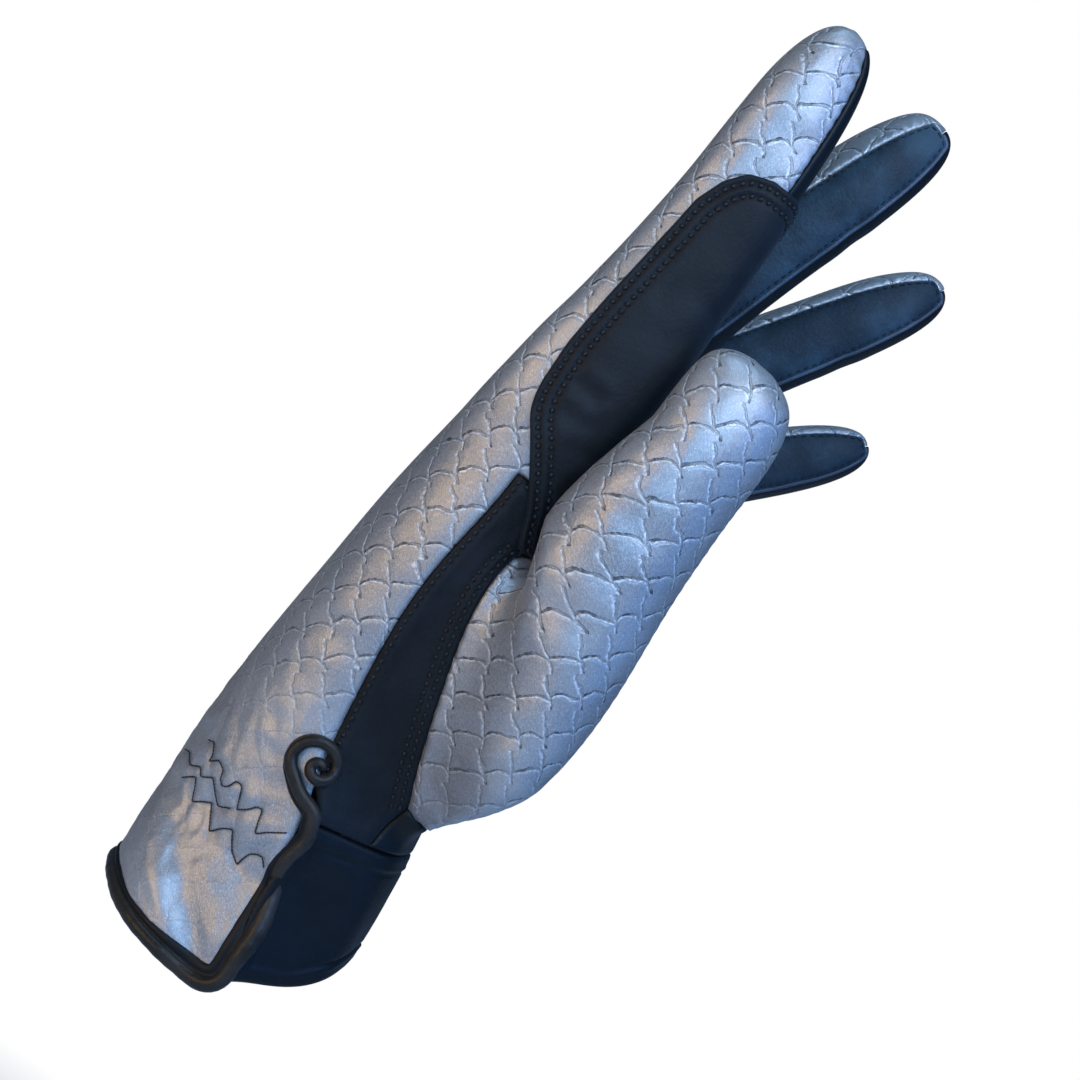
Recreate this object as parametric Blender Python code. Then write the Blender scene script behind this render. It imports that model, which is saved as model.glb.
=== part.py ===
# Horse riding glove for a left hand, shown as worn, with its fingers fanned towards the palm.
#
# Frame: origin at the middle of the wrist opening, +Z towards the fingertips, -X the back of the
# hand, +X the palm, -Y the thumb side and +Y the little finger's side. Blender's metres.
#
# One cage of quads carries the whole outer skin. Each face of the cage belongs to one panel of the
# real glove, so a seam is the line where two panels meet. The cage is smoothed once, and each panel
# is then cut out of it as a wall of its own, with a small gap to its neighbours at every seam.

import math

import bmesh
import bpy
import numpy as np
from mathutils import Vector
from mathutils.bvhtree import BVHTree

# Driving sizes, in millimetres

HAND_LENGTH = 122.0       # wrist opening to the index knuckle
HAND_DEPTH = 53.0         # back to palm across the wrist
WRIST_BREADTH = 61.0      # thumb side to little finger side across the wrist
CUFF_DROP = 12.0          # how far the hem drops below the origin on the thumb side
CUFF_SLANT = 0.17         # rise of the hem for each millimetre towards the palm

THUMB_LENGTH = 117.0      # foot of the thumb's seam to its tip
THUMB_WIDTH = 30.0        # the thumb's breadth as seen from its side
THUMB_THICKNESS = 25.0    # towards the index finger and away from it
THUMB_OFFSET = 11.0       # how far the thumb stands out beyond the hand's thumb side

FABRIC_WALL = 1.4         # scale fabric of the back and the thumb
LEATHER_WALL = 1.2        # palm, finger sides, gusset, patch and cuff band
SEAM_GAP = 0.3            # between two panels at a seam
LAYER_GAP = 0.3           # between the binding's curl and the skin that it lies on
PATCH_GAP = 0.8           # between the patch and the finger under it
VENT_PLAY = 0.9           # room beside the binding in the vent
VENT_EASE = 1.8           # more of it just under the vent's top, where smoothing draws it in
BINDING_WIDTH = 3.2
BINDING_HEIGHT = 2.8
LOOP_RADIUS = 4.4         # middle line of the binding's curl at the top of the vent
PATCH_TOP = 184.0         # top of the index patch above the wrist opening
PATCH_FOOT = 95.0         # its foot, beside the thumb's seam

# Fingers, from the thumb side. Lengths, widths and depths in millimetres, angles in degrees.
# knuckle_x and knuckle_z are shares of HAND_DEPTH and HAND_LENGTH.

FINGERS = (
    dict(name="index", knuckle_x=-0.125, knuckle_z=1.000, length=97.5, width=20.4, mid_width=18.2,
         knuckle_depth=30.0, root_depth=25.8, mid_depth=21.2, web=27.0, bend=6.5, curl=-4.5,
         spread=-1.5),
    dict(name="middle", knuckle_x=-0.120, knuckle_z=1.012, length=99.0, width=20.6, mid_width=18.4,
         knuckle_depth=30.6, root_depth=21.0, mid_depth=18.0, web=26.0, bend=14.3, curl=4.0,
         spread=-0.5),
    dict(name="ring", knuckle_x=-0.050, knuckle_z=0.970, length=88.5, width=19.4, mid_width=17.4,
         knuckle_depth=28.0, root_depth=19.0, mid_depth=16.6, web=25.0, bend=29.5, curl=2.8,
         spread=1.0),
    dict(name="little", knuckle_x=0.045, knuckle_z=0.890, length=70.5, width=17.4, mid_width=15.4,
         knuckle_depth=24.0, root_depth=17.0, mid_depth=14.8, web=20.0, bend=46.5, curl=-1.4,
         spread=3.0),
)
THUMB_SIDE_SHARE = 0.528  # of the four fingers' breadth, on the thumb side of the hand's axis

# Rows of the hand from the cuff seam to just under the knuckles.
# height: share of HAND_LENGTH. back, palm, side, seam: shares of HAND_DEPTH for the back, the palm,
# the back panel's edge on the thumb side and the thumb's seam. breadth: 0 as wide as the wrist, 1 as
# wide as the fingers. inset: how far the thumb's seam lies in from the thumb side, as a share of the
# breadth. lower and shift: how far the little finger's side hangs lower and lies nearer the palm.

HAND_ROWS = (
    dict(height=0.205, back=-0.555, palm=0.430, side=0.020, seam=0.285, breadth=0.00, inset=0.12,
         lower=0.00, shift=0.00),
    dict(height=0.296, back=-0.560, palm=0.415, side=-0.085, seam=0.345, breadth=0.06, inset=0.24,
         lower=0.00, shift=0.00),
    dict(height=0.426, back=-0.552, palm=0.350, side=-0.115, seam=0.220, breadth=0.25, inset=0.14,
         lower=0.02, shift=0.03),
    dict(height=0.541, back=-0.540, palm=0.290, side=-0.150, seam=0.140, breadth=0.45, inset=0.10,
         lower=0.03, shift=0.06),
    dict(height=0.656, back=-0.525, palm=0.245, side=-0.145, seam=0.055, breadth=0.66, inset=0.08,
         lower=0.06, shift=0.10),
    dict(height=0.770, back=-0.508, palm=0.215, side=-0.105, seam=0.077, breadth=0.82, inset=0.08,
         lower=0.10, shift=0.14),
    dict(height=0.877, back=-0.480, palm=0.205, side=-0.076, seam=0.102, breadth=0.93, inset=0.08,
         lower=0.14, shift=0.18),
)
CUFF_ROWS = (0.0, 0.30, 0.62)      # share of the way from the hem to the cuff seam
CUFF_SIDE = (0.066, 0.055, 0.015)  # vent edge in each cuff row, share of HAND_DEPTH
CUFF_SEAM_SLANT = 0.25             # the cuff seam also rises towards the palm
CUFF_FLARE = (1.5, 0.9, 0.3)       # how far each cuff row stands out at the palm, in millimetres
CUFF_EASE = 0.028                  # all of them also stand out by this share of HAND_DEPTH
HEM_DRAW = 0.03                    # the elastic draws the hem's back in by this share of it
HEM_LIFT = 0.5                     # the hem's height on the hand's axis, in millimetres
LITTLE_DROP = 0.35                 # the hem's drop on the little finger's side, share of CUFF_DROP

# Slanting fold across the back of the wrist, where the elastic draws the fabric in. Its line runs
# from the back's outside to the middle of the thumb side. Lengths in millimetres.

FOLD_DEPTH = 1.6
FOLD_BACK_Z = 15.0        # height of the line at the back
FOLD_SIDE_Z = -11.0       # and at the middle of the thumb side, where it runs out over the hem
FOLD_WIDTH = 4.5
FLARE_SHARE = 0.45        # the hem stands out below the fold by this share of its depth
FLARE_BELOW = 9.0
FLARE_WIDTH = 5.0
FOLD_FADE = 7.0           # the fold fades in over this distance from the back's outside

# Rows of a finger from its root to its tip: share of the way, thickness, width, and how far apart
# the two side seams are, all as shares of the finger's own sizes.

FINGER_ROWS = (
    dict(along=0.00, depth=1.00, width=1.00, seams=0.90),
    dict(along=0.13, depth=1.00, width=0.96, seams=0.90),
    dict(along=0.29, depth=1.00, width=0.96, seams=0.90),
    dict(along=0.46, depth=1.00, width=0.98, seams=0.90),
    dict(along=0.63, depth=0.99, width=0.99, seams=0.88),
    dict(along=0.79, depth=0.92, width=0.94, seams=0.82),
    dict(along=0.91, depth=0.76, width=0.78, seams=0.68),
    dict(along=0.98, depth=0.46, width=0.48, seams=0.50),
)

# Rows of the thumb. out_x and in_x: shares of THUMB_WIDTH from the thumb's seam, for the side that
# faces away from the hand and the side that faces it. out_z and in_z: shares of THUMB_LENGTH above
# the seam's foot. y: share of THUMB_OFFSET beyond the hand's side. depth: share of THUMB_THICKNESS.

THUMB_ROWS = (
    dict(out_x=0.93, out_z=0.100, in_x=0.250, in_z=0.480, y=-0.75, depth=0.98),
    dict(out_x=1.07, out_z=0.195, in_x=0.190, in_z=0.540, y=-0.45, depth=1.04),
    dict(out_x=1.10, out_z=0.305, in_x=0.150, in_z=0.595, y=-0.22, depth=1.06),
    dict(out_x=1.07, out_z=0.425, in_x=0.140, in_z=0.650, y=-0.05, depth=1.03),
    dict(out_x=1.02, out_z=0.540, in_x=0.150, in_z=0.705, y=0.08, depth=0.99),
    dict(out_x=1.00, out_z=0.660, in_x=0.165, in_z=0.765, y=0.17, depth=0.96),
    dict(out_x=1.00, out_z=0.775, in_x=0.190, in_z=0.830, y=0.22, depth=0.93),
    dict(out_x=1.02, out_z=0.885, in_x=0.170, in_z=0.912, y=0.25, depth=0.86),
    dict(out_x=0.94, out_z=0.965, in_x=0.220, in_z=0.985, y=0.25, depth=0.62),
)
THUMB_TIP_X = 0.58
THUMB_TIP_Z = 1.015
THUMB_TURN = 24.0         # degrees that the thumb's flat side turns away from a plain side view
THUMB_LEAN = 0.6          # how much of that turn its breadth follows

# Left edge of the patch on the index finger: height as a share of the way from PATCH_FOOT to
# PATCH_TOP, and the angle round the finger, in degrees from the thumb side towards the back.

PATCH_EDGE = (
    (0.00, -55.0), (0.07, -42.0), (0.17, -10.0), (0.265, 25.0), (0.335, 33.0), (0.44, 38.0),
    (0.76, 37.5), (0.865, 35.0), (0.935, 23.0), (0.98, 4.0), (1.00, -28.0),
)
PATCH_WRAP = -118.0       # the patch's far edge, on the palm side of the finger
PATCH_STEPS = 14
PATCH_COLUMNS = 12
PATCH_CROWD = 1.5         # rows of the patch crowd towards its round top

# The binding leaves the vent at these heights, shares of the vent's top, lying this far from the
# back panel's edge, in millimetres, and then turns into the curl.

VENT_LIFT = (0.60, 0.63, 0.77)
VENT_AWAY = (2.3, 0.4)
CURL_LEAD = (1.2, 1.5)          # towards the palm in millimetres, and down in shares of LOOP_RADIUS
CURL_START = 228.0
CURL_END = -42.0
CURL_TURNS = 12
BINDING_SIDES = 6
BINDING_STEP = 4.6
BINDING_TUCK = 0.25             # its first end starts in from the hem's corner by this share of a step

ROUND_CORNER = 0.90       # control points of a round section: corners and middles
ROUND_MIDDLE = 1.05
ROUND_THUMB = 1.06        # and all twelve of the thumb's
ROUND_SLIM = 2.2          # how square the hand's section is at the wrist and at the knuckles
ROUND_FULL = 2.8
VENT_STAND = 1.01         # the vent's edges stand out a little from the thumb side
TIP_REACH = 1.004         # a fingertip's control point, as a share of the finger's length
CROTCH_DROP = 2.0         # how far the skin dips between two fingers' roots
THUMB_SIDES = 12
DORSAL_SHARES = (0.075, 0.185, 0.31, 0.425, 0.55, 0.665, 0.775, 0.87, 0.945)
MM = 0.001


def clear_scene():
    for item in list(bpy.data.objects):
        bpy.data.objects.remove(item, do_unlink=True)


def lerp(a, b, t):
    return a + (b - a) * t


def point(x, y, z):
    return np.array((x, y, z), dtype=float)


def unit(vector):
    return vector / np.linalg.norm(vector)


# The breadth of the knuckles follows from the fingers' widths

BREADTH = sum(finger["width"] for finger in FINGERS)
THUMB_SIDE = -THUMB_SIDE_SHARE * BREADTH


def finger_middle(index):
    """The y of a finger's middle line at the knuckles."""
    before = sum(finger["width"] for finger in FINGERS[:index])
    return THUMB_SIDE + before + FINGERS[index]["width"] / 2


def finger_frame(index, along):
    """Middle point and direction of a finger, at a length along it from its knuckle."""
    finger = FINGERS[index]
    spot = point(finger["knuckle_x"] * HAND_DEPTH, finger_middle(index),
                 finger["knuckle_z"] * HAND_LENGTH)
    steps = 40
    side = math.tan(math.radians(finger["spread"]))
    for step in range(steps):
        share = (step + 0.5) / steps * along / finger["length"]
        angle = math.radians(finger["bend"] + finger["curl"] * share * 2)
        way = unit(point(math.sin(angle), side, math.cos(angle)))
        spot = spot + way * along / steps
    angle = math.radians(finger["bend"] + finger["curl"] * along / finger["length"] * 2)
    return spot, unit(point(math.sin(angle), side, math.cos(angle)))


def section(middle, way, depth, width, seams=ROUND_CORNER):
    """Eight control points of a finger's section, from the back seam on its thumb side, round by
    the back, the little finger's side and the palm to the middle of its thumb side."""
    across = point(0, 1, 0)
    palm = unit(np.cross(across, way))
    across = unit(np.cross(way, palm))
    half_depth = depth / 2
    half_width = width / 2
    corner = ROUND_CORNER * half_width
    mid = ROUND_MIDDLE
    spots = (
        (-seams * half_depth, -corner), (-mid * half_depth, 0), (-seams * half_depth, corner),
        (0, mid * half_width), (seams * half_depth, corner), (mid * half_depth, 0),
        (seams * half_depth, -corner), (0, -mid * half_width),
    )
    return [middle + palm * a + across * b for a, b in spots]


def finger_sections(index):
    """Sections at the knuckle and at every row of the finger, and its tip."""
    finger = FINGERS[index]
    spot, way = finger_frame(index, 0.0)
    half = math.radians(finger["bend"] / 2)
    way = unit(point(math.sin(half), 0, math.cos(half)))
    knuckle = section(spot, way, finger["knuckle_depth"], finger["width"])
    rows = []
    for row in FINGER_ROWS:
        share = row["along"]
        spot, way = finger_frame(index, lerp(finger["web"], finger["length"], share))
        settle = min(share / 0.6, 1.0)
        settle = settle * (2 - settle)
        depth = lerp(finger["root_depth"], finger["mid_depth"], settle) * row["depth"]
        width = lerp(finger["width"], finger["mid_width"], settle) * row["width"]
        rows.append(section(spot, way, depth, width, row["seams"]))
    tip, way = finger_frame(index, finger["length"] * TIP_REACH)
    return knuckle, rows, tip


def ring_of(row, vent):
    """Twenty-one control points round the hand: nine over the back from the thumb side, the little
    finger's side, nine over the palm, and the thumb side's edge twice, for the palm's side of the
    vent and for the back's."""
    low = lerp(-WRIST_BREADTH / 2, THUMB_SIDE, row["breadth"])
    high = lerp(WRIST_BREADTH / 2, THUMB_SIDE + BREADTH, row["breadth"])
    back = row["back"] * HAND_DEPTH
    palm = row["palm"] * HAND_DEPTH
    side = row["side"] * HAND_DEPTH
    seam = row["seam"] * HAND_DEPTH
    power = lerp(ROUND_SLIM, ROUND_FULL, row["breadth"])

    def height(share):
        return row["height"] * HAND_LENGTH - row["lower"] * HAND_LENGTH * share ** 2

    def bow(share):
        return (1 - abs(2 * share - 1) ** power) ** (1 / power)

    def shift(share):
        return row["shift"] * HAND_DEPTH * share ** 2

    middle = lerp(back, palm, 0.5)
    ring = []
    for share in DORSAL_SHARES:
        edge = lerp(side, middle, min(share * 2, 1.0))
        x = lerp(edge, back, bow(share)) + shift(share)
        ring.append(point(x, lerp(low, high, share), height(share)))
    ring.append(point(middle + shift(1), high, height(1)))
    for share in reversed(DORSAL_SHARES[1:]):
        edge = lerp(seam, middle, min(share * 2, 1.0))
        x = lerp(edge, palm, bow(share)) + shift(share)
        ring.append(point(x, lerp(low, high, share), height(share)))
    ring.append(point(seam, lerp(low, high, row["inset"]), height(row["inset"])))
    opening = BINDING_WIDTH + 2 * SEAM_GAP + vent if vent else 0.0
    ring.append(point(side + opening, low * VENT_STAND, height(0)))
    ring.append(point(side, low * VENT_STAND, height(0)))
    return ring


# Places in a ring of the hand

LITTLE_SIDE = 9
SEAM = 18
VENT_PALM = 19
VENT_BACK = 20
THUMB_HOLE_ROWS = 4
GUSSET_TOP = 9


def hand_rings():
    """All rings from the hem to just under the knuckles, and the row where the vent closes."""
    first = HAND_ROWS[0]
    cuff_top = ring_of(first, VENT_PLAY + VENT_EASE)
    for place in range(len(cuff_top)):
        x = max(cuff_top[place][0], 0.0)
        cuff_top[place][2] += CUFF_SEAM_SLANT * x
    rings = []
    for share, side, flare in zip(CUFF_ROWS, CUFF_SIDE, CUFF_FLARE):
        row = dict(first)
        row["side"] = side
        row["palm"] = first["palm"] + CUFF_EASE + flare / HAND_DEPTH
        row["back"] = first["back"] + HEM_DRAW * (1 - share)
        ring = ring_of(row, VENT_PLAY)
        for place, spot in enumerate(ring):
            reach = spot[1] / (WRIST_BREADTH / 2)
            drop = CUFF_DROP if reach < 0 else CUFF_DROP * LITTLE_DROP
            hem = CUFF_SLANT * spot[0] - drop * reach ** 2 + HEM_LIFT
            spot[2] = lerp(hem, cuff_top[place][2], share)
        rings.append(ring)
    rings.append(cuff_top)
    for row in HAND_ROWS[1:]:
        rings.append(ring_of(row, 0.0))
    return rings, len(CUFF_ROWS) + 1


def knuckle_ring(sections):
    """A ring through the four knuckle sections, with the points between two fingers shared."""
    ring = [sections[0][0]]
    for index in range(4):
        ring.append(sections[index][1])
        if index < 3:
            ring.append((sections[index][2] + sections[index + 1][0]) / 2)
    ring.append(sections[3][2])
    ring.append(sections[3][3])
    ring.append(sections[3][4])
    for index in (3, 2, 1, 0):
        ring.append(sections[index][5])
        if index > 0:
            ring.append((sections[index][6] + sections[index - 1][4]) / 2)
    ring.append(sections[0][6])
    ring.append(sections[0][7])
    ring.append(sections[0][7])
    return ring


def thumb_rings(foot, height):
    """The control points in each row of the thumb, from the side away from the hand, round by its
    near side. foot and height place the thumb's seam."""
    turn = math.radians(THUMB_TURN)
    rings = []
    for row in THUMB_ROWS:
        y = THUMB_SIDE - THUMB_OFFSET * row["y"]
        outer = point(foot + row["out_x"] * THUMB_WIDTH, y, height + row["out_z"] * THUMB_LENGTH)
        inner = point(foot + row["in_x"] * THUMB_WIDTH, y, height + row["in_z"] * THUMB_LENGTH)
        middle = (outer + inner) / 2
        arm = (outer - inner) / 2
        lean = point(0, -math.sin(turn), 0) * np.linalg.norm(arm)
        arm = arm * math.cos(turn) + lean * THUMB_LEAN
        near = unit(point(-math.sin(turn), -math.cos(turn), 0)) * row["depth"] * THUMB_THICKNESS / 2
        ring = []
        for step in range(THUMB_SIDES):
            angle = 2 * math.pi * step / THUMB_SIDES
            reach = arm * math.cos(angle) + near * math.sin(angle)
            ring.append(middle + reach * ROUND_THUMB)
        rings.append(ring)
    y = THUMB_SIDE - THUMB_OFFSET * THUMB_ROWS[-1]["y"]
    tip = point(foot + THUMB_TIP_X * THUMB_WIDTH, y, height + THUMB_LENGTH * THUMB_TIP_Z)
    return rings, tip


class Cage:
    """The quads of the whole skin, each with the name of the panel that it belongs to."""

    def __init__(self):
        self.spots = []
        self.faces = []
        self.panels = []

    def add(self, spot):
        self.spots.append(spot)
        return len(self.spots) - 1

    def face(self, corners, panel):
        self.faces.append(corners)
        self.panels.append(panel)


def hand_panel(row, column, vent_rows):
    """The panel of the quad above a place in a ring of the hand."""
    if column <= LITTLE_SIDE:
        return "back_panel"
    if row < vent_rows - 1:
        return "cuff_band"
    if column == SEAM:
        return "side_gusset" if row < GUSSET_TOP else "back_panel"
    return "palm_panel"


def build_cage():
    cage = Cage()
    rings, vent_rows = hand_rings()
    knuckles = []
    roots = []
    rows = []
    tips = []
    for index in range(4):
        knuckle, sections, tip = finger_sections(index)
        knuckles.append(knuckle)
        roots.append(sections[0])
        rows.append(sections[1:])
        tips.append(tip)
    rings.append(knuckle_ring(knuckles))
    rings.append(knuckle_ring(roots))

    # Points of the hand. Above the vent the two points of its edge are one.
    grid = []
    for level, ring in enumerate(rings):
        numbers = [cage.add(spot) for spot in ring[:VENT_PALM]]
        back = cage.add(ring[VENT_BACK])
        palm = cage.add(ring[VENT_PALM]) if level < vent_rows else back
        grid.append(numbers + [palm, back])

    hole_low = vent_rows
    hole_high = vent_rows + THUMB_HOLE_ROWS
    for level in range(len(grid) - 1):
        low = grid[level]
        high = grid[level + 1]
        for column in range(20):
            if column == VENT_PALM:
                continue
            in_hole = hole_low <= level < hole_high and column in (SEAM - 1, SEAM - 2)
            if in_hole:
                continue
            corners = (low[column], low[column + 1], high[column + 1], high[column])
            cage.face(corners, hand_panel(level, column, vent_rows))
        corners = (low[VENT_BACK], low[0], high[0], high[VENT_BACK])
        cage.face(corners, "back_panel")

    # Fingers, with one line of three points at the foot of each gap between them
    top = grid[-1]
    crotches = []
    for index in range(3):
        spot = (roots[index][3] + roots[index + 1][7]) / 2
        crotches.append(cage.add(spot - point(0, 0, CROTCH_DROP)))
    for index in range(4):
        back = 2 * index
        palm = 18 - 2 * index
        left = top[VENT_BACK] if index == 0 else crotches[index - 1]
        right = top[LITTLE_SIDE] if index == 3 else crotches[index]
        lower = [top[back], top[back + 1], top[back + 2], right,
                 top[palm - 2], top[palm - 1], top[palm], left]
        near = "back_panel"
        far = "back_panel"
        if index > 0:
            near = "fourchette_" + FINGERS[index - 1]["name"] + "_" + FINGERS[index]["name"]
        if index < 3:
            far = "fourchette_" + FINGERS[index]["name"] + "_" + FINGERS[index + 1]["name"]
        sides = ("back_panel", "back_panel", far, far, "palm_panel", "palm_panel", near, near)
        for spots in rows[index]:
            upper = [cage.add(spot) for spot in spots]
            for place in range(8):
                after = (place + 1) % 8
                corners = (lower[place], lower[after], upper[after], upper[place])
                cage.face(corners, sides[place])
            lower = upper
        tip = cage.add(tips[index])
        cage.face((lower[7], lower[0], lower[1], tip), "back_panel")
        cage.face((lower[1], lower[2], lower[3], tip), "back_panel")
        cage.face((lower[3], lower[4], lower[5], tip), "palm_panel")
        cage.face((lower[5], lower[6], lower[7], tip), "palm_panel")

    # Thumb, from the hole's rim, starting at the rim's foot and going round by the thumb side
    near = [grid[level][SEAM] for level in range(hole_low, hole_high + 1)]
    far = [grid[level][SEAM - 2] for level in range(hole_high, hole_low - 1, -1)]
    lower = [grid[hole_low][SEAM - 1]] + near + [grid[hole_high][SEAM - 1]] + far
    foot = HAND_ROWS[5]["seam"] * HAND_DEPTH
    height = HAND_ROWS[1]["height"] * HAND_LENGTH
    spots, tip = thumb_rings(foot, height)
    for ring in spots:
        upper = [cage.add(spot) for spot in ring]
        for place in range(THUMB_SIDES):
            after = (place + 1) % THUMB_SIDES
            panel = "thumb_back" if place < 6 or place == 11 else "thumb_palm"
            cage.face((lower[place], lower[after], upper[after], upper[place]), panel)
        lower = upper
    tip = cage.add(tip)
    for place in range(0, THUMB_SIDES, 2):
        first = (place - 1) % THUMB_SIDES
        panel = "thumb_back" if place < 7 else "thumb_palm"
        cage.face((lower[first], lower[place], lower[(place + 1) % THUMB_SIDES], tip), panel)
    return cage


PANEL_WALLS = {
    "back_panel": FABRIC_WALL,
    "thumb_back": FABRIC_WALL,
    "thumb_palm": LEATHER_WALL,
    "palm_panel": LEATHER_WALL,
    "side_gusset": LEATHER_WALL,
    "cuff_band": LEATHER_WALL,
    "fourchette_index_middle": LEATHER_WALL,
    "fourchette_middle_ring": LEATHER_WALL,
    "fourchette_ring_little": LEATHER_WALL,
}


def smooth_skin(cage):
    """The cage smoothed once. Returns a bmesh with each face's panel in its material number."""
    mesh = bpy.data.meshes.new("skin")
    mesh.from_pydata([tuple(spot * MM) for spot in cage.spots], [], cage.faces)
    names = list(PANEL_WALLS)
    for face, panel in zip(mesh.polygons, cage.panels):
        face.material_index = names.index(panel)
    skin = bpy.data.objects.new("skin_guide", mesh)
    bpy.context.collection.objects.link(skin)
    for _ in names:
        mesh.materials.append(None)
    smooth = skin.modifiers.new("smooth", "SUBSURF")
    smooth.levels = 1
    smooth.render_levels = 1
    smooth.use_limit_surface = False
    smooth.boundary_smooth = "PRESERVE_CORNERS"
    graph = bpy.context.evaluated_depsgraph_get()
    shape = bmesh.new()
    shape.from_mesh(skin.evaluated_get(graph).to_mesh())
    bmesh.ops.recalc_face_normals(shape, faces=shape.faces)
    shape.verts.ensure_lookup_table()
    shape.faces.ensure_lookup_table()
    bpy.data.objects.remove(skin, do_unlink=True)
    return shape


def point_out(shape):
    """Turn all faces outwards: on the back of the hand the normal points to -X."""
    rear = min(shape.faces, key=lambda face: face.calc_center_median().x)
    if rear.normal.x > 0:
        bmesh.ops.reverse_faces(shape, faces=shape.faces)
    shape.normal_update()


def share_of(value, start, end):
    """How far a value lies from start to end, kept from 0 to 1."""
    return min(max((value - start) / (end - start), 0.0), 1.0)


def press_fold(shape):
    """The slanting fold across the back of the wrist. The hem flares out below it."""
    back = HAND_ROWS[0]["back"] * HAND_DEPTH
    far = WRIST_BREADTH / 2
    top = HAND_ROWS[1]["height"] * HAND_LENGTH
    for vert in shape.verts:
        spot = vert.co / MM
        if spot.z > top:
            continue
        line = lerp(FOLD_BACK_Z, FOLD_SIDE_Z, share_of(spot.x, back, 0.0))
        away = spot.z - line
        dent = math.exp(-(away / FOLD_WIDTH) ** 2)
        dent -= FLARE_SHARE * math.exp(-((away + FLARE_BELOW) / FLARE_WIDTH) ** 2)
        fade = share_of(spot.x, back, back + FOLD_FADE)
        fade *= share_of(spot.x, FOLD_FADE, 0.0) * share_of(spot.y, far, far - FOLD_FADE)
        vert.co -= vert.normal * dent * fade * FOLD_DEPTH * MM


def panel_parts(shape, number):
    """The panel's corner numbers and faces, and how its border moves in at a seam."""
    faces = [face for face in shape.faces if face.material_index == number]
    inward = {}
    for face in faces:
        for edge in face.edges:
            if sum(1 for other in edge.link_faces if other.material_index == number) == 2:
                continue
            middle = face.calc_center_median()
            start, end = edge.verts
            along = (end.co - start.co).normalized()
            away = middle - start.co
            away = (away - along * away.dot(along)).normalized()
            for vert in edge.verts:
                inward.setdefault(vert, []).append(away)
    return faces, inward


def border_move(vert, ways, faces, distance):
    """The move that takes a border point a given distance in from each of its border edges."""
    mean = Vector((0, 0, 0))
    for way in ways:
        mean += way
    if mean.length < 0.5:
        mean = Vector((0, 0, 0))
        for face in vert.link_faces:
            if face.material_index == faces[0].material_index:
                mean += (face.calc_center_median() - vert.co).normalized()
        mean -= vert.normal * mean.dot(vert.normal)
        return mean.normalized() * distance * 3
    mean.normalize()
    least = max(min(mean.dot(way) for way in ways), 0.2)
    return mean * (distance / least)


def number_of(vert):
    return vert.index


def wall_of(shape, faces, inward, outer, inner):
    """A closed wall over the given faces: its outside lies outer and its inside lies inner from the
    skin, in millimetres along the skin's normals."""
    # The two triangles of each border quad follow the skin's own order, so that the facing edges of
    # two neighbours twist in the same way and never cross.
    wall = bmesh.new()
    tops = {}
    bottoms = {}
    for face in faces:
        for vert in face.verts:
            if vert in tops:
                continue
            move = Vector((0, 0, 0))
            if vert in inward:
                move = border_move(vert, inward[vert], faces, SEAM_GAP / 2 * MM)
            tops[vert] = wall.verts.new(vert.co + move + vert.normal * outer * MM)
            bottoms[vert] = wall.verts.new(vert.co + move + vert.normal * inner * MM)
    for face in faces:
        wall.faces.new([tops[vert] for vert in face.verts])
        wall.faces.new([bottoms[vert] for vert in reversed(face.verts)])
        chosen = set(faces)
        for loop in face.loops:
            others = [other for other in loop.edge.link_faces if other in chosen]
            if len(others) == 1:
                start, end = sorted((loop.vert, loop.link_loop_next.vert), key=number_of)
                wall.faces.new((tops[start], tops[end], bottoms[end]))
                wall.faces.new((tops[start], bottoms[end], bottoms[start]))
    return wall


def material(name, colour, roughness):
    made = bpy.data.materials.new(name)
    made.use_nodes = True
    shader = made.node_tree.nodes["Principled BSDF"]
    shader.inputs["Base Color"].default_value = (*colour, 1.0)
    shader.inputs["Roughness"].default_value = roughness
    return made


def place(name, shape, finish):
    mesh = bpy.data.meshes.new(name)
    bmesh.ops.recalc_face_normals(shape, faces=shape.faces)
    shape.to_mesh(mesh)
    shape.free()
    mesh.materials.clear()
    mesh.materials.append(finish)
    for face in mesh.polygons:
        face.material_index = 0
    mesh.shade_smooth()
    made = bpy.data.objects.new(name, mesh)
    bpy.context.collection.objects.link(made)
    return made


def patch_edge(share):
    """Angle of the patch's left edge at a share of its height."""
    for (low, start), (high, end) in zip(PATCH_EDGE, PATCH_EDGE[1:]):
        if share <= high:
            return lerp(start, end, (share - low) / (high - low))
    return PATCH_EDGE[-1][1]


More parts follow.
